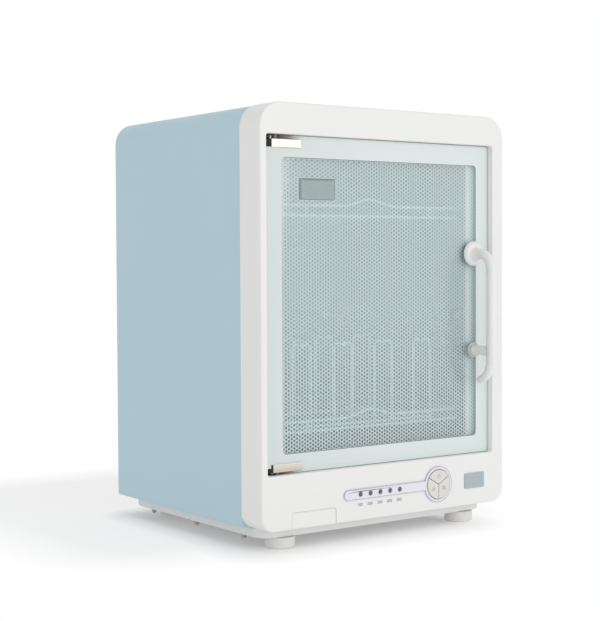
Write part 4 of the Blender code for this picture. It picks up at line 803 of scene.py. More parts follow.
class STERILISER_OT_frame(bpy.types.Operator):
    """Loft the white moulding round the door, and cut its key, lamp, tray and hinge holes."""

    bl_idname = "steriliser.frame"
    bl_label = "Front frame"

    def execute(self, context):
        sizes = context.scene.steriliser_sizes
        edge, lip, small = sizes.frame_edge, sizes.opening_edge, sizes.small_edge
        back, face_back = CASE_HIGH.y, FRONT + FACE_WALL
        rings = [CASE.ring(0, back)]
        rings += CASE.bend(edge, FRONT + edge, edge, 180, 270, 8)
        rings += OPENING.bend(-lip, FRONT + lip, lip, 270, 360)
        rings += OPENING.bend(lip / 2, RIM_FRONT - lip / 2, lip / 2, 180, 90, 3)
        rings += HOLE.bend(-small, RIM_FRONT + small, small, 270, 360, 3)
        rings += [HOLE.ring(0, RIM_BACK), OPENING.ring(-RETURN_WALL, RIM_BACK)]
        rings += [OPENING.ring(-RETURN_WALL, face_back), CASE.ring(SIDE_WALL, face_back)]
        rings += [CASE.ring(SIDE_WALL, back), CASE.ring(0, back)]
        start, reach = FRONT - HOLE_MARGIN, FACE_WALL + 2 * HOLE_MARGIN
        holes = [rod((PAD_X, start, STRIP_Z), BACKWARD, PAD_HOLE, reach, TURN_SIDES)]
        holes += [rod((x, start, STRIP_Z), BACKWARD, LAMP_HOLE, reach) for x in LAMP_SPOTS]
        low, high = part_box("tray_front")
        hatch = Outline(low - FLAP_DROP, high, TRAY_CORNER, grow=SEAT_GAP)
        holes.append(lofted([hatch.ring(0, start), hatch.ring(0, face_back + SEAT_GAP)]))
        low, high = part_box("hinge_bush_lower")
        spot = ((low.x + high.x) / 2, (low.y + high.y) / 2, OPENING.low - 2 * RETURN_WALL)
        holes.append(rod(spot, UPWARD, BUSH_HOLE, OPENING.high - OPENING.low + 4 * RETURN_WALL))
        moulding = combined(lofted(rings, closed=True), joined(*holes))
        low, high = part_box("control_board")
        inset, root = 2 * PILLAR_RADIUS, FRONT + FACE_WALL / 2
        reach = high.y - BOARD - SEAT_GAP - root
        pillars = [
            rod((x, root, z), BACKWARD, PILLAR_RADIUS, reach)
            for x in (low.x + inset, high.x - inset) for z in (low.z + inset, high.z - inset)
        ]
        moulding = combined(moulding, joined(*pillars), "UNION")
        place("frame_moulding", moulding, white(), "front_frame")
        return {"FINISHED"}


class STERILISER_OT_shell(bpy.types.Operator):
    """Loft the pale blue shell, and finish the back panel with its screws."""

    bl_idname = "steriliser.shell"
    bl_label = "Outer shell"

    def execute(self, context):
        sizes = context.scene.steriliser_sizes
        edge, fold, reach = sizes.small_edge, SHELL_WALL * 0.6, SHELL_WALL + SHELL_LIP
        near, far = SHELL_LOW.y, SHELL_HIGH.y
        panel_low, panel_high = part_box("back_panel")
        lip = panel_low.y - SEAT_GAP
        lip_front = lip - SHELL_LIP_WALL
        rings = SHELL.bend(edge, near + edge, edge, 270, 180, 3)
        rings += SHELL.bend(fold, far - fold, fold, 180, 90, 4)
        rings += [SHELL.ring(SHELL_WALL, far), SHELL.ring(SHELL_WALL, lip)]
        rings += [SHELL.ring(reach, lip), SHELL.ring(reach, lip_front)]
        rings += [SHELL.ring(SHELL_WALL, lip_front), SHELL.ring(SHELL_WALL, near + SHELL_WALL)]
        rings += [MOUTH.ring(SHELL_WALL, near + SHELL_WALL), MOUTH.ring(SHELL_WALL, near), rings[0]]
        blue = moulded("blue_shell", hue("blue"), 0.42, 0.02, gloss=0.2)
        place("shell_wrap", lofted(rings, closed=True), blue, "outer_shell")
        sheet = metallic("zinc_sheet", ZINC, 0.42, (1, 1, 12), 30.0, 0.000008)
        finished("back_sheet", "back_panel", sheet, 0.0002, 1)
        inset, corner = 0.008, 0.02
        left, right, back = panel_low.x + inset, panel_high.x - inset, panel_high.y
        low, high = panel_low.z + inset, panel_high.z - inset
        spots = [(x, back, z) for x in (left, right) for z in (low + corner, (low + high) / 2, high - corner)]
        spots += [((left + right) / 2, back, z) for z in (low, high)]
        screws("back_screws", spots, BACKWARD, sizes.screw_head, 0.0016, steel(), "back_panel")
        return {"FINISHED"}


class STERILISER_OT_base(bpy.types.Operator):
    """Loft the plinth, turn the rubber feet and put in their screws."""

    bl_idname = "steriliser.base"
    bl_label = "Plinth and feet"

    def execute(self, context):
        head = context.scene.steriliser_sizes.screw_head
        low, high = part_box("base_plinth")
        outline = Outline(low, high, PLINTH_CORNER, axes="xy")
        edge = 0.0015
        rings = outline.bend(edge, low.z + edge, edge, 270, 180, 4)
        rings += [outline.ring(0, high.z), outline.ring(PLINTH_WALL, high.z)]
        rings += [outline.ring(PLINTH_WALL, low.z + PLINTH_WALL)]
        plastic = moulded("plinth_moulding", hue("plinth"), 0.5)
        place("plinth_tray", lofted(rings, facing="top"), plastic, "base_plinth")
        rubber = rubbery("foot_rubber", hue("feet"))
        recess, depth, chamfer = 0.0055, 0.006, 0.0006
        spots = []
        for node in ("foot_front_left", "foot_front_right", "foot_rear_left", "foot_rear_right"):
            start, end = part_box(node)
            radius = (end.x - start.x) / 2
            x, y, top = (start.x + end.x) / 2, (start.y + end.y) / 2, end.z
            profile = [(0, top), (radius - 0.0004, top), (radius, top - 0.0004), (radius, 0.0022)]
            profile += [(radius - chamfer, 0.0008), (radius - 3 * chamfer, 0)]
            profile += [(recess + chamfer, 0), (recess, chamfer), (recess, depth), (0, depth)]
            place(node + "_turned", spun(profile, (x, y, 0), UPWARD), rubber, node)
            spots.append((x, y, depth))
        screws("foot_screws", spots, -UPWARD, 0.0042, 0.0022, steel(), "foot_front_left")
        # Painted shade: the screws under the case get a dark brownish tone
        painted_tone = metallic("dusty_screw", (0.42, 0.40, 0.38), 0.4)
        spots = [(x, y, low.z) for x in (-SCREW_SIDE, SCREW_SIDE) for y in SCREW_DEPTHS]
        screws("base_screws", spots, -UPWARD, head, 0.0046, painted_tone, "base_plinth")
        return {"FINISHED"}


@once
def chamber_steel(name):
    """Rolled bright steel, given a dark colour as painted shade inside the chamber: white by the mouth, then
    darker on the right wall as a painted reflection of the shade.
    """
    finish = Finish(name)
    x, y, _ = finish.axes()
    grain = finish.clouds(40.0, 4.0, (1, 1, 14))
    right_wall = x > HOLE.right - 0.004
    # Painted shade: the steel's colour is kept dark for the shade inside the closed chamber
    steel = finish.blend(finish.ranged(finish.clouds(14.0), 0, 1), (0.22, 0.29, 0.33), (0.30, 0.37, 0.41))
    # Painted reflection of shade darkens the right wall just behind the mouth, fading further in
    shade = finish.ranged(y, 1, 0, RIM_BACK + 0.012, RIM_BACK + 0.075)
    painted_shade_walls = finish.blend(right_wall * shade, steel, (0.10, 0.17, 0.21))
    mouth = y < RIM_BACK + 0.011
    return finish.done({
        "Base Color": finish.blend(mouth, painted_shade_walls, (0.80, 0.84, 0.83)),
        "Metallic": 0.5 * (1.0 - mouth),
        "Roughness": finish.ranged(grain, 0.2, 0.3),
        "Normal": finish.relief(grain, 0.000006),
    })


class STERILISER_OT_chamber(bpy.types.Operator):
    """Finish the metal chamber with its runners and drain, and loft the door seal."""

    bl_idname = "steriliser.chamber"
    bl_label = "Chamber"

    def execute(self, context):
        finished("chamber_liner", "inner_chamber", chamber_steel("chamber_steel"))
        mirror = metallic("chamber_mirror", (0.55, 0.66, 0.74), 0.24, (1, 1, 14), 40.0, 0.000006)
        for node in ("lower_runner_left", "lower_runner_right", "upper_runner_left", "upper_runner_right"):
            finished(node + "_ledge", node, mirror, 0.0004)
        dress(black(), "drain_pipe")
        near, far = SEAL_LOW.y, SEAL_HIGH.y
        inner, outer = -SEAL_INSET, -SEAL_REACH
        half = (inner - outer) / 2
        rings = [HOLE.ring(outer, far)]
        rings += HOLE.bend((inner + outer) / 2, near + half, half, 180, 360, 8)
        rings += [HOLE.ring(inner, far), HOLE.ring(outer, far)]
        grey = rubbery("seal_rubber_grey", (0.60, 0.66, 0.65))
        place("seal_bulb", lofted(rings, closed=True), grey, "door_seal")
        return {"FINISHED"}


@once
def printed_film(name, sizes, mint, patch, line):
    """The door's print: a field of clear dots, paler above and darker below by painted shade, with a tinted
    window in its upper left whose top and left edges carry painted shade.
    """
    finish = Finish(name)
    x, _, z = finish.axes()
    column, half_row, radius = sizes.dot_column, sizes.dot_row / 2, sizes.dot_radius
    across, up = x.to("PINGPONG", column), z.to("PINGPONG", half_row)
    first = across * across + up * up
    across, up = column - across, half_row - up
    dots = first.to("MINIMUM", across * across + up * up) < radius * radius
    field = finish.outside(x, z, FIELD, PRINT_CORNER)
    window = finish.outside(x, z, WINDOW, WINDOW_CORNER)
    inside, glazed = field < -DOT_MARGIN, window < 0.0
    # Painted shade along the window's top and left edges, outside this inner outline
    shade = finish.outside(x, z, WINDOW_PAINTED_SHADE, WINDOW_CORNER) < 0.0
    clouds = finish.clouds(25.0)
    paint = finish.blend(clouds, shaded(mint, 0.97), shaded(mint, 1.02))
    # Painted shade deepens the lattice between the dots towards the bottom of the field
    painted_shade_below = finish.ranged(z, 1, 0, 0.11, 0.25)
    lattice = finish.blend(painted_shade_below, (0.775, 0.87, 0.875), (0.72, 0.81, 0.815))
    paint = finish.blend(inside, paint, lattice)
    paint = finish.blend(glazed, paint, finish.blend(shade, shaded(patch, 0.66), shaded(patch, 1.06)))
    paint = finish.blend(window.to("ABSOLUTE") < WINDOW_LINE, paint, line)
    paint = finish.blend(field.to("ABSOLUTE") < FIELD_LINE, paint, line)
    ink = finish.principled({"Base Color": paint, "Roughness": finish.ranged(clouds, 0.42, 0.55)})
    # How much shows through: most at the dots, least outside the field, and less at its right edge
    clear = dots * inside * (window > DOT_MARGIN) * (painted_shade_below * 0.2 + 0.72)
    clear = clear.to("MAXIMUM", glazed * 0.3).to("MAXIMUM", inside * (0.45 - painted_shade_below * 0.1))
    clear = (clear * finish.ranged(x, 1, 0.4, 0.122, 0.126)).to("MAXIMUM", finish.shadow_ray())
    return finish.done(finish.mixed(clear, ink, finish.see_through((0.93, 0.98, 1))))


@once
def border_ink(name, mint):
    """The print's pale border: darker at the left by painted shade, and without a shadow on the field behind it.
    """
    finish = Finish(name)
    x, _, _ = finish.axes()
    # Painted shade darkens the border towards the left
    paint = finish.blend(finish.ranged(x, 0, 1, PANE_LOW.x, 0), shaded(mint, 0.83), shaded(mint, 0.9))
    ink = finish.principled({"Base Color": paint, "Roughness": finish.ranged(finish.clouds(30.0), 0.4, 0.5)})
    return finish.done(finish.mixed(finish.shadow_ray(), ink, finish.see_through((1, 1, 1))))


def grown_pane(edge=0.0):
    """The pane, let out at its top, bottom and right to the thin gap that the photograph shows."""
    pane = copied("door_glass")
    for vert in pane.verts:
        if vert.co.z > PANE_HIGH.z - WELD:
            vert.co.z += PANE_GROWTH
        elif vert.co.z < PANE_LOW.z + WELD:
            vert.co.z -= PANE_GROWTH
        if vert.co.x > PANE_HIGH.x - WELD:
            vert.co.x += PANE_GROWTH
    for face in pane.faces:
        face.material_index = 1 if abs(face.normal.y) < 0.5 else 0
    return ease(pane, edge)


def print_border():
    """A thin ring on the front of the glass, with a notch round each hinge clip."""
    trim, seat, notch_height = 0.0003, 0.00002, 0.02
    spread = PANE_GROWTH - trim
    around = outlined(
        (PANE_LOW.x + trim, PANE_HIGH.x + spread, PANE_LOW.z - spread, PANE_HIGH.z + spread), OPENING_CORNER
    )
    within = outlined(BORDER_HOLE, PRINT_CORNER)
    back = PANE_LOW.y - seat
    front = back - INK
    rings = [around.ring(0, back), around.ring(0, front), within.ring(0, front), within.ring(0, back)]
    border = lofted(rings + rings[:1], closed=True)
    for clip, bottom, top in (("upper", 0, notch_height), ("lower", -notch_height, 0.0045)):
        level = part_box("hinge_clip_" + clip)[0].z
        low = (PANE_LOW.x - 0.001, front - 0.001, level + bottom)
        border = combined(border, block(low, (CLIP_NOTCH, back + 0.001, level + top)))
    return border


def print_sheet():
    """A thin copy of the pane, just behind the glass."""
    film = grown_pane()
    for face in film.faces:
        face.material_index = 0
    middle = (PANE_LOW + PANE_HIGH) / 2
    width, height = PANE_HIGH.x - PANE_LOW.x, PANE_HIGH.z - PANE_LOW.z
    rim, seat = 0.0008, 0.00003
    shrink = Vector((1 - 2 * rim / width, FILM / (PANE_HIGH.y - PANE_LOW.y), 1 - 2 * rim / height))
    bmesh.ops.translate(film, vec=-middle, verts=film.verts)
    bmesh.ops.scale(film, vec=shrink, verts=film.verts)
    rear = Vector((middle.x, PANE_HIGH.y + seat + FILM / 2, middle.z))
    bmesh.ops.translate(film, vec=rear, verts=film.verts)
    return film


class STERILISER_OT_door(bpy.types.Operator):
    """Finish the pane, lay its print's border before it and its dots behind it, and finish the catch."""

    bl_idname = "steriliser.door"
    bl_label = "Glass door"

    def execute(self, context):
        mint, sizes = hue("mint"), context.scene.steriliser_sizes
        glass = clear_glass("pane_glass", (0.985, 0.995, 0.993))
        pane = place("door_pane", grown_pane(0.0005), glass, "door_glass")
        pane.data.materials.append(moulded("ground_edge", mint, 0.5))
        place("door_border", print_border(), border_ink("border_ink", mint), "door_glass", shown=False)
        ink = printed_film("door_ink", sizes, mint, hue("window"), hue("dot_outline"))
        place("door_print", print_sheet(), ink, "door_glass", shown=False)
        finished("strike", "strike_plate", steel(), 0.0002)
        finished("magnet", "catch_magnet", black(), 0.0003)
        return {"FINISHED"}


@once
def clip_chrome(name, node, lower, upper):
    """Bright clip, whose tone changes from its lower to its upper edge; on the lower clip the change is a painted
    reflection.
    """
    finish = Finish(name)
    low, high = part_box(node)
    _, _, z = finish.axes()
    grain = finish.clouds(60.0, 4.0, (1, 8, 8))
    return finish.done({
        "Base Color": finish.blend(finish.ranged(z, 0, 1, low.z, high.z), lower, upper),
        "Metallic": 0.9,
        "Roughness": finish.ranged(grain, 0.16, 0.26),
        "Normal": finish.relief(grain, 0.000006),
    })


@once
def gasket_with_painted_shade(name):
    """Black rubber that partly stands in for the shade in the gap beside the clip, with a painted brown
    reflection away from the hinge, and grey at its far end where the painted shade ends.
    """
    finish = Finish(name)
    low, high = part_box("hinge_clip_upper")
    x, _, _ = finish.axes()
    away = finish.ranged(x, 0, 1, low.x + 0.012, high.x - 0.008)
    # Painted reflection: the black turns brown away from the hinge
    painted_tone = finish.blend(away, (0.015, 0.014, 0.014), (0.36, 0.29, 0.26))
    ends = finish.ranged(x, 0, 1, high.x - 0.014, high.x - 0.001)
    return finish.done({
        "Base Color": finish.blend(ends, painted_tone, (0.62, 0.66, 0.65)),
        "Roughness": finish.ranged(finish.clouds(60.0), 0.5, 0.65),
    })


class STERILISER_OT_hinges(bpy.types.Operator):
    """Finish the bright clips, pins and bushes, and add their dark backing, gaskets and screws; the backing and
    the gaskets partly stand in for shade.
    """

    bl_idname = "steriliser.hinges"
    bl_label = "Hinges"

    def execute(self, context):
        pin = metallic("pin_steel", (0.35, 0.35, 0.36), 0.3)
        # Black for the bushes and the clips' left faces, and for the backing that stands in for the shade in the
        # hinge pocket
        dark = moulded("hinge_gasket", (0.02, 0.019, 0.019), 0.5, 0.2)
        warm = (0.80, 0.75, 0.60)
        clip_lap, glass_lap, gasket_start, gasket_back, gasket_front = 0.004, 0.0001, 0.0156, 0.00015, 0.0005
        # The lower clip's darker tones, paling upwards, are a painted reflection; the upper clip keeps one warm
        # tone
        for side, tones in (("upper", (warm, warm)), ("lower", ((0.58, 0.50, 0.43), (0.76, 0.73, 0.66)))):
            upper, clip = side == "upper", "hinge_clip_" + side
            low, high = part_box(clip)
            plate = copied(clip, 0.0004)
            for face in plate.faces:
                face.material_index = 1 if face.normal.x < -0.4 else 0
            plate = place(clip + "_plate", plate, clip_chrome(clip + "_chrome", clip, *tones), clip)
            plate.data.materials.append(dark)
            finished("hinge_pin_" + side + "_rod", "hinge_pin_" + side, pin, 0.0002)
            finished("hinge_bush_" + side + "_ring", "hinge_bush_" + side, dark)
            # The dark backing in the notch stands in for the shade in the hinge pocket
            bottom, top = sorted((PANE_HIGH.z, low.z) if upper else (PANE_LOW.z, high.z - clip_lap))
            start = (OPENING.left + TIGHT, RIM_FRONT - 0.0015, bottom)
            backing = block(start, (HOLE.left - 0.0045, RIM_FRONT - 0.0002, top), 0.0002)
            place("hinge_backing_" + side, backing, dark, "front_frame", shown=False)
            spots = [(low.x + inset, high.y, (low.z + high.z) / 2) for inset in (0.020, 0.031)]
            screws("clamp_screws_" + side, spots, BACKWARD, 0.0022, 0.0008, steel(), clip)
            # Each gasket strip partly stands in for the shade in the gap between its clip and the frame
            bottom, top = sorted((
                high.z + glass_lap if upper else low.z - glass_lap,
                PANE_HIGH.z + PANE_GROWTH if upper else PANE_LOW.z - PANE_GROWTH,
            ))
            start = (PANE_LOW.x + gasket_start, PANE_LOW.y - gasket_front, bottom)
            strip = block(start, (high.x - 0.001, PANE_LOW.y - gasket_back, top))
            place("clip_gasket_" + side, strip, gasket_with_painted_shade("gasket_rubber"), "door_glass", shown=False)
        return {"FINISHED"}


class STERILISER_OT_handle(bpy.types.Operator):
    """Sweep the bowed handle, and turn its rosette, post, washer and screws."""

    bl_idname = "steriliser.handle"
    bl_label = "Handle"

    def execute(self, context):
        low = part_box("handle_bar")[0]
        rose_low, rose_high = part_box("handle_rosette")
        x, top = (rose_low.x + rose_high.x) / 2, (rose_low.z + rose_high.z) / 2
        bar, root, tip = 0.0054, 0.0060, 0.0040
        bend, tail_bend, tail_drop, tail_sweep = 0.020, 0.025, 0.1195, 80
        y, start = low.y + bar, top - tail_drop
        path = [(x, rose_low.y - SEAT_GAP, top), (x, rose_low.y - 0.0015, top)]
        path += arc((x, y + bend, top - bend), bend, 90, 180, 16, "yz")
        path += [(x, y, between(top - bend, start, step / 8)) for step in range(1, 8)]
        path += arc((x, y + tail_bend, start), tail_bend, 180, 180 + tail_sweep, 20, "yz")
        radii = [root * 1.25, root * 1.12]
        radii += [between(root, bar, math.sin(math.radians(90 * step / 16))) for step in range(17)]
        radii += [bar] * 7 + [between(bar, tip, (step / 20) ** 2) for step in range(21)]
        end, ahead = Vector(path[-1]), (Vector(path[-1]) - Vector(path[-2])).normalized()
        for step in range(1, 6):
            angle = math.radians(82 * step / 5)
            path.append(tuple(end + ahead * (tip * 0.62 * math.sin(angle) - tip * 0.35)))
            radii.append(tip * math.cos(angle))
        place("handle_bow", swept(path, radii, BAR_SIDES, RIGHTWARD), white(), "handle_bar")
        rose = spun(ROSE_PROFILE, (x, PANE_LOW.y - SEAT_GAP, top), -BACKWARD, TURN_SIDES, True)
        place("handle_rose", rose, white(), "handle_rosette")
        post = moulded("post_moulding", (0.82, 0.83, 0.815), 0.4, 0.05)
        finished("handle_post_stem", "handle_post", post, 0.0002, 1)
        washer = tinted_plastic("washer_mint", (0.70, 0.80, 0.77))
        finished("handle_washer_ring", "handle_washer", washer, 0.0003)
        head_rise = 0.002
        for node in ("handle_screw_upper", "handle_screw_lower"):
            low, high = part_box(node)
            z, shank = (low.z + high.z) / 2, high.y - head_rise
            body = rod((x, low.y, z), BACKWARD, 0.002, shank - low.y, SMALL_SIDES, 0.0002)
            place(node + "_cross", joined(body, screw((x, shank, z), BACKWARD, 0.0048, head_rise)), steel(), node)
        return {"FINISHED"}


class STERILISER_OT_controls(bpy.types.Operator):
    """Finish the lavender strip with its outline, lenses, ticks and figures, and the bare badge plate."""

    bl_idname = "steriliser.controls"
    bl_label = "Control strip"

    def execute(self, context):
        strip = copied("control_bezel")
        front = [face for face in strip.faces if face.normal.y < -0.9]
        bmesh.ops.inset_region(strip, faces=front, thickness=STRIP_LINE, use_even_offset=True, use_boundary=True)
        core = {face for face in strip.faces if face.normal.y < -0.9 and face in front}
        for face in strip.faces:
            face.material_index = 0 if face in core else 1
        lavender, rim = (
            moulded("lavender_" + part, hue(name), 0.3, 0.02, 0.3)
            for part, name in (("film", "lavender"), ("edge", "lavender_line"))
        )
        film = place("control_film", strip, lavender, "control_bezel")
        film.data.materials.append(rim)
        dome = [(0, 0.0007), (0.0009, 0.0006), (0.0016, 0.0003), (0.0021, 0), (0, 0)]
        domes = [spun(dome, (x, LENS_LOW.y, STRIP_Z), -BACKWARD, SMALL_SIDES) for x in LAMP_SPOTS]
        violet = tinted_plastic("lens_violet", (0.16, 0.145, 0.22), 0.14)
        place("lamp_lenses", joined(copied("indicator_lens_bar"), *domes), violet, "indicator_lens_bar")
        level = STRIP_HALF - 0.0006
        back = FILM_LOW.y - 0.00001
        ticks = [
            block((x - 0.0006, back - 0.00005, z - 0.0004), (x + 0.0006, back, z + 0.0004))
            for x in TICK_SPOTS for z in (STRIP_Z - level, STRIP_Z + level)
        ]
        ink = moulded("strip_ink", tint(98, 90, 122), 0.5, 0.05)
        place("strip_ticks", joined(*ticks), ink, "control_bezel", shown=False)
        height, front = context.scene.steriliser_sizes.numeral_height, FRONT - FIGURE_LIFT
        figures = [
            lettering(str(100 * index), height, (x, front, STRIP_Z - STRIP_HALF - 0.0060))
            for index, x in enumerate(LAMP_SPOTS, 1)
        ]
        ink = moulded("figure_ink", tint(118, 118, 130), 0.5, 0.05)
        place("lamp_figures", joined(*figures), ink, "front_frame", shown=False)
        dress(circuit_board("board_laminate"), "control_board")
        finished("badge", "badge_plate", moulded("badge_metal_film", hue("badge"), 0.32, 0.05, 0.2), 0.0003)
        return {"FINISHED"}


def key_strokes(node, middle):
    """The paths of a key's plain mark: an open ring with a bar, a small sun, or three waves."""
    x, y, z = middle
    if node == "power_key":
        return [arc(middle, 0.0019, 120, 420, 16, "xz"), [(x, y, z + 0.0008), (x, y, z + 0.0025)]]
    if node == "lamp_key":
        ends = [arc(middle, radius, 0, 315, 7, "xz") for radius in (0.0018, 0.0026)]
        return [arc(middle, 0.0012, 0, 355, 16, "xz"), *[list(ray) for ray in zip(*ends)]]
    wave, height = 0.0004, 0.004
    return [
        [(x + offset + wave * math.sin(step), y, z + height * (step / 12 - 0.5)) for step in range(13)]
        for offset in (-0.0016, 0, 0.0016)
    ]


class STERILISER_OT_keys(bpy.types.Operator):
    """Finish the three sector keys, each with a plain raised mark."""

    bl_idname = "steriliser.keys"
    bl_label = "Keys"

    def execute(self, context):
        cream = moulded("key_cream", hue("key_caps"), 0.4)
        mark = moulded("key_mark", tint(150, 148, 165), 0.45, 0.05)
        for node, direction in (("power_key", 90), ("lamp_key", 210), ("dry_key", 330)):
            finished(node + "_cap", node, cream, 0.0003)
            centre = (PAD_X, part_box(node)[0].y - 0.00005, STRIP_Z)
            middle = arc(centre, MARK_RADIUS, direction, direction, 1, "xz")[0]
            strokes = [swept(path, STROKE, 8, BACKWARD) for path in key_strokes(node, middle)]
            place(node + "_mark", joined(*strokes), mark, node, shown=False)
        return {"FINISHED"}


class STERILISER_OT_tray(bpy.types.Operator):
    """Shape the tray's front flap to the moulding's edge, and finish the tray and its guide."""

    bl_idname = "steriliser.tray"
    bl_label = "Drip tray"

    def execute(self, context):
        edge = context.scene.steriliser_sizes.frame_edge
        low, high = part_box("tray_front")
        outline = Outline(low - FLAP_DROP, high, TRAY_CORNER - SEAT_GAP)
        rim = 0.0006
        flap = lofted([outline.ring(rim, FRONT), outline.ring(0, FRONT + rim), outline.ring(0, high.y)])
        body = CASE.bend(edge, FRONT + edge, edge, 270, 180, 8) + [CASE.ring(0, high.y + HOLE_MARGIN)]
        place("tray_flap", combined(flap, lofted(body), "INTERSECT"), white(), "tray_front")
        finished("tray_box", "drip_tray", white(), 0.0004)
        finished("tray_slide_guide", "tray_guide", moulded("guide_moulding", (0.60, 0.61, 0.60), 0.5), 0.0003, 1)
        return {"FINISHED"}


def loop_path(low, high, level, hump=0.0):
    """The run of a rack's rail, with a hump in the middle of its front where asked."""
    left, right = low.x + RAIL_CORNER, high.x - RAIL_CORNER
    near, far = low.y + RAIL_CORNER, high.y - RAIL_CORNER
    path = arc((left, near, level), RAIL_CORNER, 180, 270, 6, "xy")
    for step in range(25 if hump else 0):
        share = step / 24
        rise = hump * (1 - math.cos(2 * math.pi * share)) / 2
        path.append(((low.x + high.x) / 2 + HUMP_WIDTH * (share - 0.5), low.y, level + rise))
    for x, y, start in ((right, near, 270), (right, far, 0), (left, far, 90)):
        path += arc((x, y, level), RAIL_CORNER, start, start + 90, 6, "xy")
    return path


class STERILISER_OT_racks(bpy.types.Operator):
    """Sweep the wire racks, their fences and the upturned loops of their peg rows."""

    bl_idname = "steriliser.racks"
    bl_label = "Racks"

    def execute(self, context):
        sizes = context.scene.steriliser_sizes
        rail, wire = sizes.rail_radius, sizes.wire_radius
        bright = chrome()
        for name in ("upper_rack", "lower_rack"):
            low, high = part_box(name)
            inset = Vector((rail, rail, rail))
            start, end, level = low + inset, high - inset, low.z + rail
            columns = [between(start.x, end.x, index / 9) for index in range(1, 9)]
            rows = [between(start.y, end.y, index / 3) for index in (1, 2)]
            runs = [[(x, start.y, level), (x, end.y, level)] for x in columns]
            runs += [[(start.x, y, level + wire), (end.x, y, level + wire)] for y in rows]
            pieces = [swept(loop_path(start, end, level), rail, WIRE_SIDES, UPWARD, True)]
            pieces += [swept(run, wire, WIRE_SIDES, UPWARD) for run in runs]
            place(name + "_wires", joined(*pieces), bright, name)
            top, foot = level + 0.011, level + rail + SEAT_GAP
            posts = [(between(start.x, end.x, share), y) for share in (1 / 6, 5 / 6) for y in (start.y, end.y)]
            posts += [(x, between(start.y, end.y, share)) for share in (1 / 5, 4 / 5) for x in (start.x, end.x)]
            pieces = [swept(loop_path(start, end, top, 0.0075), rail, WIRE_SIDES, UPWARD, True)]
            pieces += [rod((x, y, foot), UPWARD, wire, top - foot, WIRE_SIDES) for x, y in posts]
            place(name + "_fence_wires", joined(*pieces), bright, name + "_fence")
        bend, peg = 0.006, 0.0125
        reach = peg + 2 * wire
        for name in ("peg_row_front", "peg_row_back"):
            low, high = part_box(name)
            y, base, crest = (low.y + high.y) / 2, low.z + rail, high.z - wire
            shoulder = crest - bend
            pieces = [rod((low.x, y, base), RIGHTWARD, rail, high.x - low.x, WIRE_SIDES, 0.0003)]
            for index in range(4):
                middle = between(low.x + reach, high.x - reach, index / 3)
                side = middle - peg
                path = [(side, y, between(base, shoulder, step / 4)) for step in range(4)]
                path += arc((side + bend, y, shoulder), bend, 180, 90, 8, "xz")
                mirrored = [(2 * middle - px, py, pz) for px, py, pz in reversed(path)]
                path += [(middle, y, crest - 0.002)] + mirrored
                pieces.append(swept(path, wire, WIRE_SIDES, BACKWARD))
            place(name + "_wires", joined(*pieces), bright, name)
        return {"FINISHED"}


class STERILISER_OT_lamp(bpy.types.Operator):
    """Finish the ultraviolet tube, its caps and holders, the reflector and the slotted guard."""

    bl_idname = "steriliser.lamp"
    bl_label = "Lamp"

    def execute(self, context):
        low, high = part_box("uv_lamp")
        radius, y, z = (high.z - low.z) / 2, (low.y + high.y) / 2, (low.z + high.z) / 2
        tube = rod((low.x, y, z), RIGHTWARD, radius, high.x - low.x, BAR_SIDES, 0.0008)
        place("lamp_tube", tube, milky_tube("quartz_tube"), "uv_lamp")
        cap = metallic("cap_aluminium", ALUMINIUM, 0.3)
        for side in ("left", "right"):
            finished("lamp_cap_" + side + "_turned", "lamp_cap_" + side, cap, 0.0003)
            finished("lamp_holder_" + side + "_moulded", "lamp_holder_" + side, white(), 0.0006)
        sheet = metallic("reflector_sheet", (0.76, 0.79, 0.82), 0.15, (1, 10, 1), 50.0, 0.000004)
        finished("reflector_sheet_bent", "lamp_reflector", sheet)
        zinc = metallic("guard_zinc", ZINC, 0.4, (1, 12, 1), 40.0, 0.000006)
        finished("guard_sheet_bent", "lamp_guard", zinc, 0.0002, 1)
        return {"FINISHED"}


class STERILISER_OT_airflow(bpy.types.Operator):
    """Finish the fan and the finned heater behind the chamber."""

    bl_idname = "steriliser.airflow"
    bl_label = "Fan and heater"

    def execute(self, context):
        finished("fan_box", "fan_housing", black(), 0.0004)
        finished("fan_blades", "fan_rotor", moulded("fan_moulding", (0.035, 0.035, 0.038), 0.35, 0.15), 0.0002, 1)
        dress(steel(), "fan_stator")
        fins = metallic("heater_aluminium", ALUMINIUM, 0.32, (8, 1, 1), 50.0)
        finished("heater_fins", "heater_block", fins, 0.0002, 1)
        return {"FINISHED"}


class STERILISER_OT_electrics(bpy.types.Operator):
    """Finish the power board, the ballast and the mains inlet."""

    bl_idname = "steriliser.electrics"
    bl_label = "Electrics"

    def execute(self, context):
        dress(circuit_board("board_laminate"), "power_board")
        can = metallic("ballast_aluminium", (0.7, 0.71, 0.72), 0.35, (1, 1, 10), 40.0)
        finished("ballast_can", "ballast_box", can)
        finished("inlet_socket_shell", "mains_inlet", black(), 0.0003, 1)
        return {"FINISHED"}


def stage_world():
    """White where it is looked at, and a plain soft light for everything else."""
    studio = Finish("studio", "worlds")
    plain, bright = (
        studio.node("ShaderNodeBackground", inputs={"Color": (1, 1, 1, 1), "Strength": strength})
        for strength in (0.74, 1.0)
    )
    studio.node("ShaderNodeOutputWorld", inputs={"Surface": studio.mixed(studio.seen(), plain, bright)})
    bpy.context.scene.world = studio.material


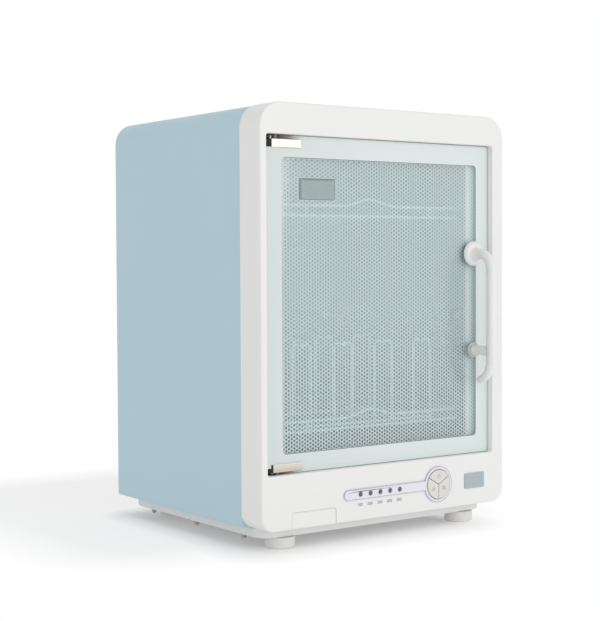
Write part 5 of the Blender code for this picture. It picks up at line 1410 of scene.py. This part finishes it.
def floor_material():
    """A pale floor that keeps the shadow near the case and is plain white away from it."""
    finish = Finish("studio_floor")
    x, y, _ = finish.axes()
    left, right, back = CASE_LOW.x, CASE_HIGH.x, SHELL_HIGH.y
    # The darker contact under the case, and the long pale shadow beside and behind it
    near = finish.outside(x, y, (left, right - 0.05, FRONT + 0.012, back), 0.02)
    cast = finish.outside(x, y, (left - 0.12, right - 0.02, FRONT + 0.09, back + 0.25), 0.05)
    open_floor = finish.ranged(near, 0.08, 1, -0.012, 0.06)
    share = open_floor.to("MINIMUM", finish.ranged(cast, 0.6, 1.0, 0, 0.1))
    seen = finish.seen()
    tone = finish.blend(finish.clouds(3.0), (0.93, 0.93, 0.93), (0.95, 0.95, 0.95))
    matt = finish.node("ShaderNodeBsdfDiffuse", inputs={"Color": tone})
    glow = finish.node("ShaderNodeEmission", inputs={"Color": (1, 1, 1, 1), "Strength": 1.0})
    return finish.done(finish.mixed(seen * share + (1.0 - seen) * (open_floor * 0.4 + 0.2), matt, glow))


def soft_light(name, spot, target, size, power):
    """A rectangular light at a spot, turned to its target."""
    light = bpy.data.lights.new(name, "AREA")
    light.shape = "RECTANGLE"
    light.size, light.size_y = size
    light.energy = power
    thing = bpy.data.objects.new(name, light)
    thing.location = spot
    thing.rotation_euler = (Vector(target) - Vector(spot)).to_track_quat("-Z", "Y").to_euler()
    bpy.context.scene.collection.objects.link(thing)


def photograph_camera():
    """The camera from which the scene has the photograph's view."""
    yaw, pitch, roll = (math.radians(degrees) for degrees in CAMERA_TURN)
    ahead = Vector((math.sin(yaw) * math.cos(pitch), math.cos(yaw) * math.cos(pitch), -math.sin(pitch)))
    across = Vector((math.cos(yaw), -math.sin(yaw), 0))
    up = across.cross(ahead)
    right = math.cos(roll) * across + math.sin(roll) * up
    rise = -math.sin(roll) * across + math.cos(roll) * up
    camera = bpy.data.cameras.new("photograph_camera")
    camera.lens, camera.sensor_width, camera.shift_x = CAMERA_LENS, CAMERA_SENSOR, CAMERA_SHIFT
    camera.clip_end = 100
    viewer = bpy.data.objects.new("photograph_camera", camera)
    turn = Matrix((right, rise, -ahead)).transposed().to_4x4()
    viewer.matrix_world = Matrix.Translation(CAMERA_SPOT) @ turn
    return viewer


class STERILISER_OT_stage(bpy.types.Operator):
    """Lay the pale floor, hang the soft light and set up the photograph's camera."""

    bl_idname = "steriliser.stage"
    bl_label = "Stage"

    def execute(self, context):
        scene = context.scene
        scene.view_settings.view_transform = "Standard"
        stage_world()
        made = bmesh.new()
        bmesh.ops.create_grid(made, x_segments=1, y_segments=1, size=30)
        ground = shape_of(made, "studio_ground")
        ground.data.materials.append(floor_material())
        soft_light("key_light", (0.9, -4.2, 1.5), (0, 0, 0.22), (3.6, 2.6), 42)
        scene.camera = photograph_camera()
        scene.collection.objects.link(scene.camera)
        return {"FINISHED"}


OPERATORS = (
    STERILISER_OT_frame, STERILISER_OT_shell, STERILISER_OT_base, STERILISER_OT_chamber, STERILISER_OT_door,
    STERILISER_OT_hinges, STERILISER_OT_handle, STERILISER_OT_controls, STERILISER_OT_keys, STERILISER_OT_tray,
    STERILISER_OT_racks, STERILISER_OT_lamp, STERILISER_OT_airflow, STERILISER_OT_electrics, STERILISER_OT_stage,
)


class STERILISER_PT_panel(bpy.types.Panel):
    """Lists the steriliser's pieces in the sidebar."""

    bl_label = "Bottle steriliser"
    bl_idname = "STERILISER_PT_panel"
    bl_space_type = "VIEW_3D"
    bl_region_type = "UI"
    bl_category = "Steriliser"

    def draw(self, context):
        for group in (context.scene.steriliser_sizes, context.scene.steriliser_colours):
            for name in group.__annotations__:
                self.layout.prop(group, name)
        for operator in OPERATORS:
            self.layout.operator(operator.bl_idname)


CLASSES = (SteriliserSizes, SteriliserColours, *OPERATORS, STERILISER_PT_panel)


def register():
    for kind in CLASSES:
        bpy.utils.register_class(kind)
    bpy.types.Scene.steriliser_sizes = PointerProperty(type=SteriliserSizes)
    bpy.types.Scene.steriliser_colours = PointerProperty(type=SteriliserColours)


def unregister():
    del bpy.types.Scene.steriliser_colours
    del bpy.types.Scene.steriliser_sizes
    for kind in reversed(CLASSES):
        bpy.utils.unregister_class(kind)


def main():
    register()
    for operator in OPERATORS:
        group, name = operator.bl_idname.split(".")
        getattr(getattr(bpy.ops, group), name)()


if __name__ == "__main__":
    main()
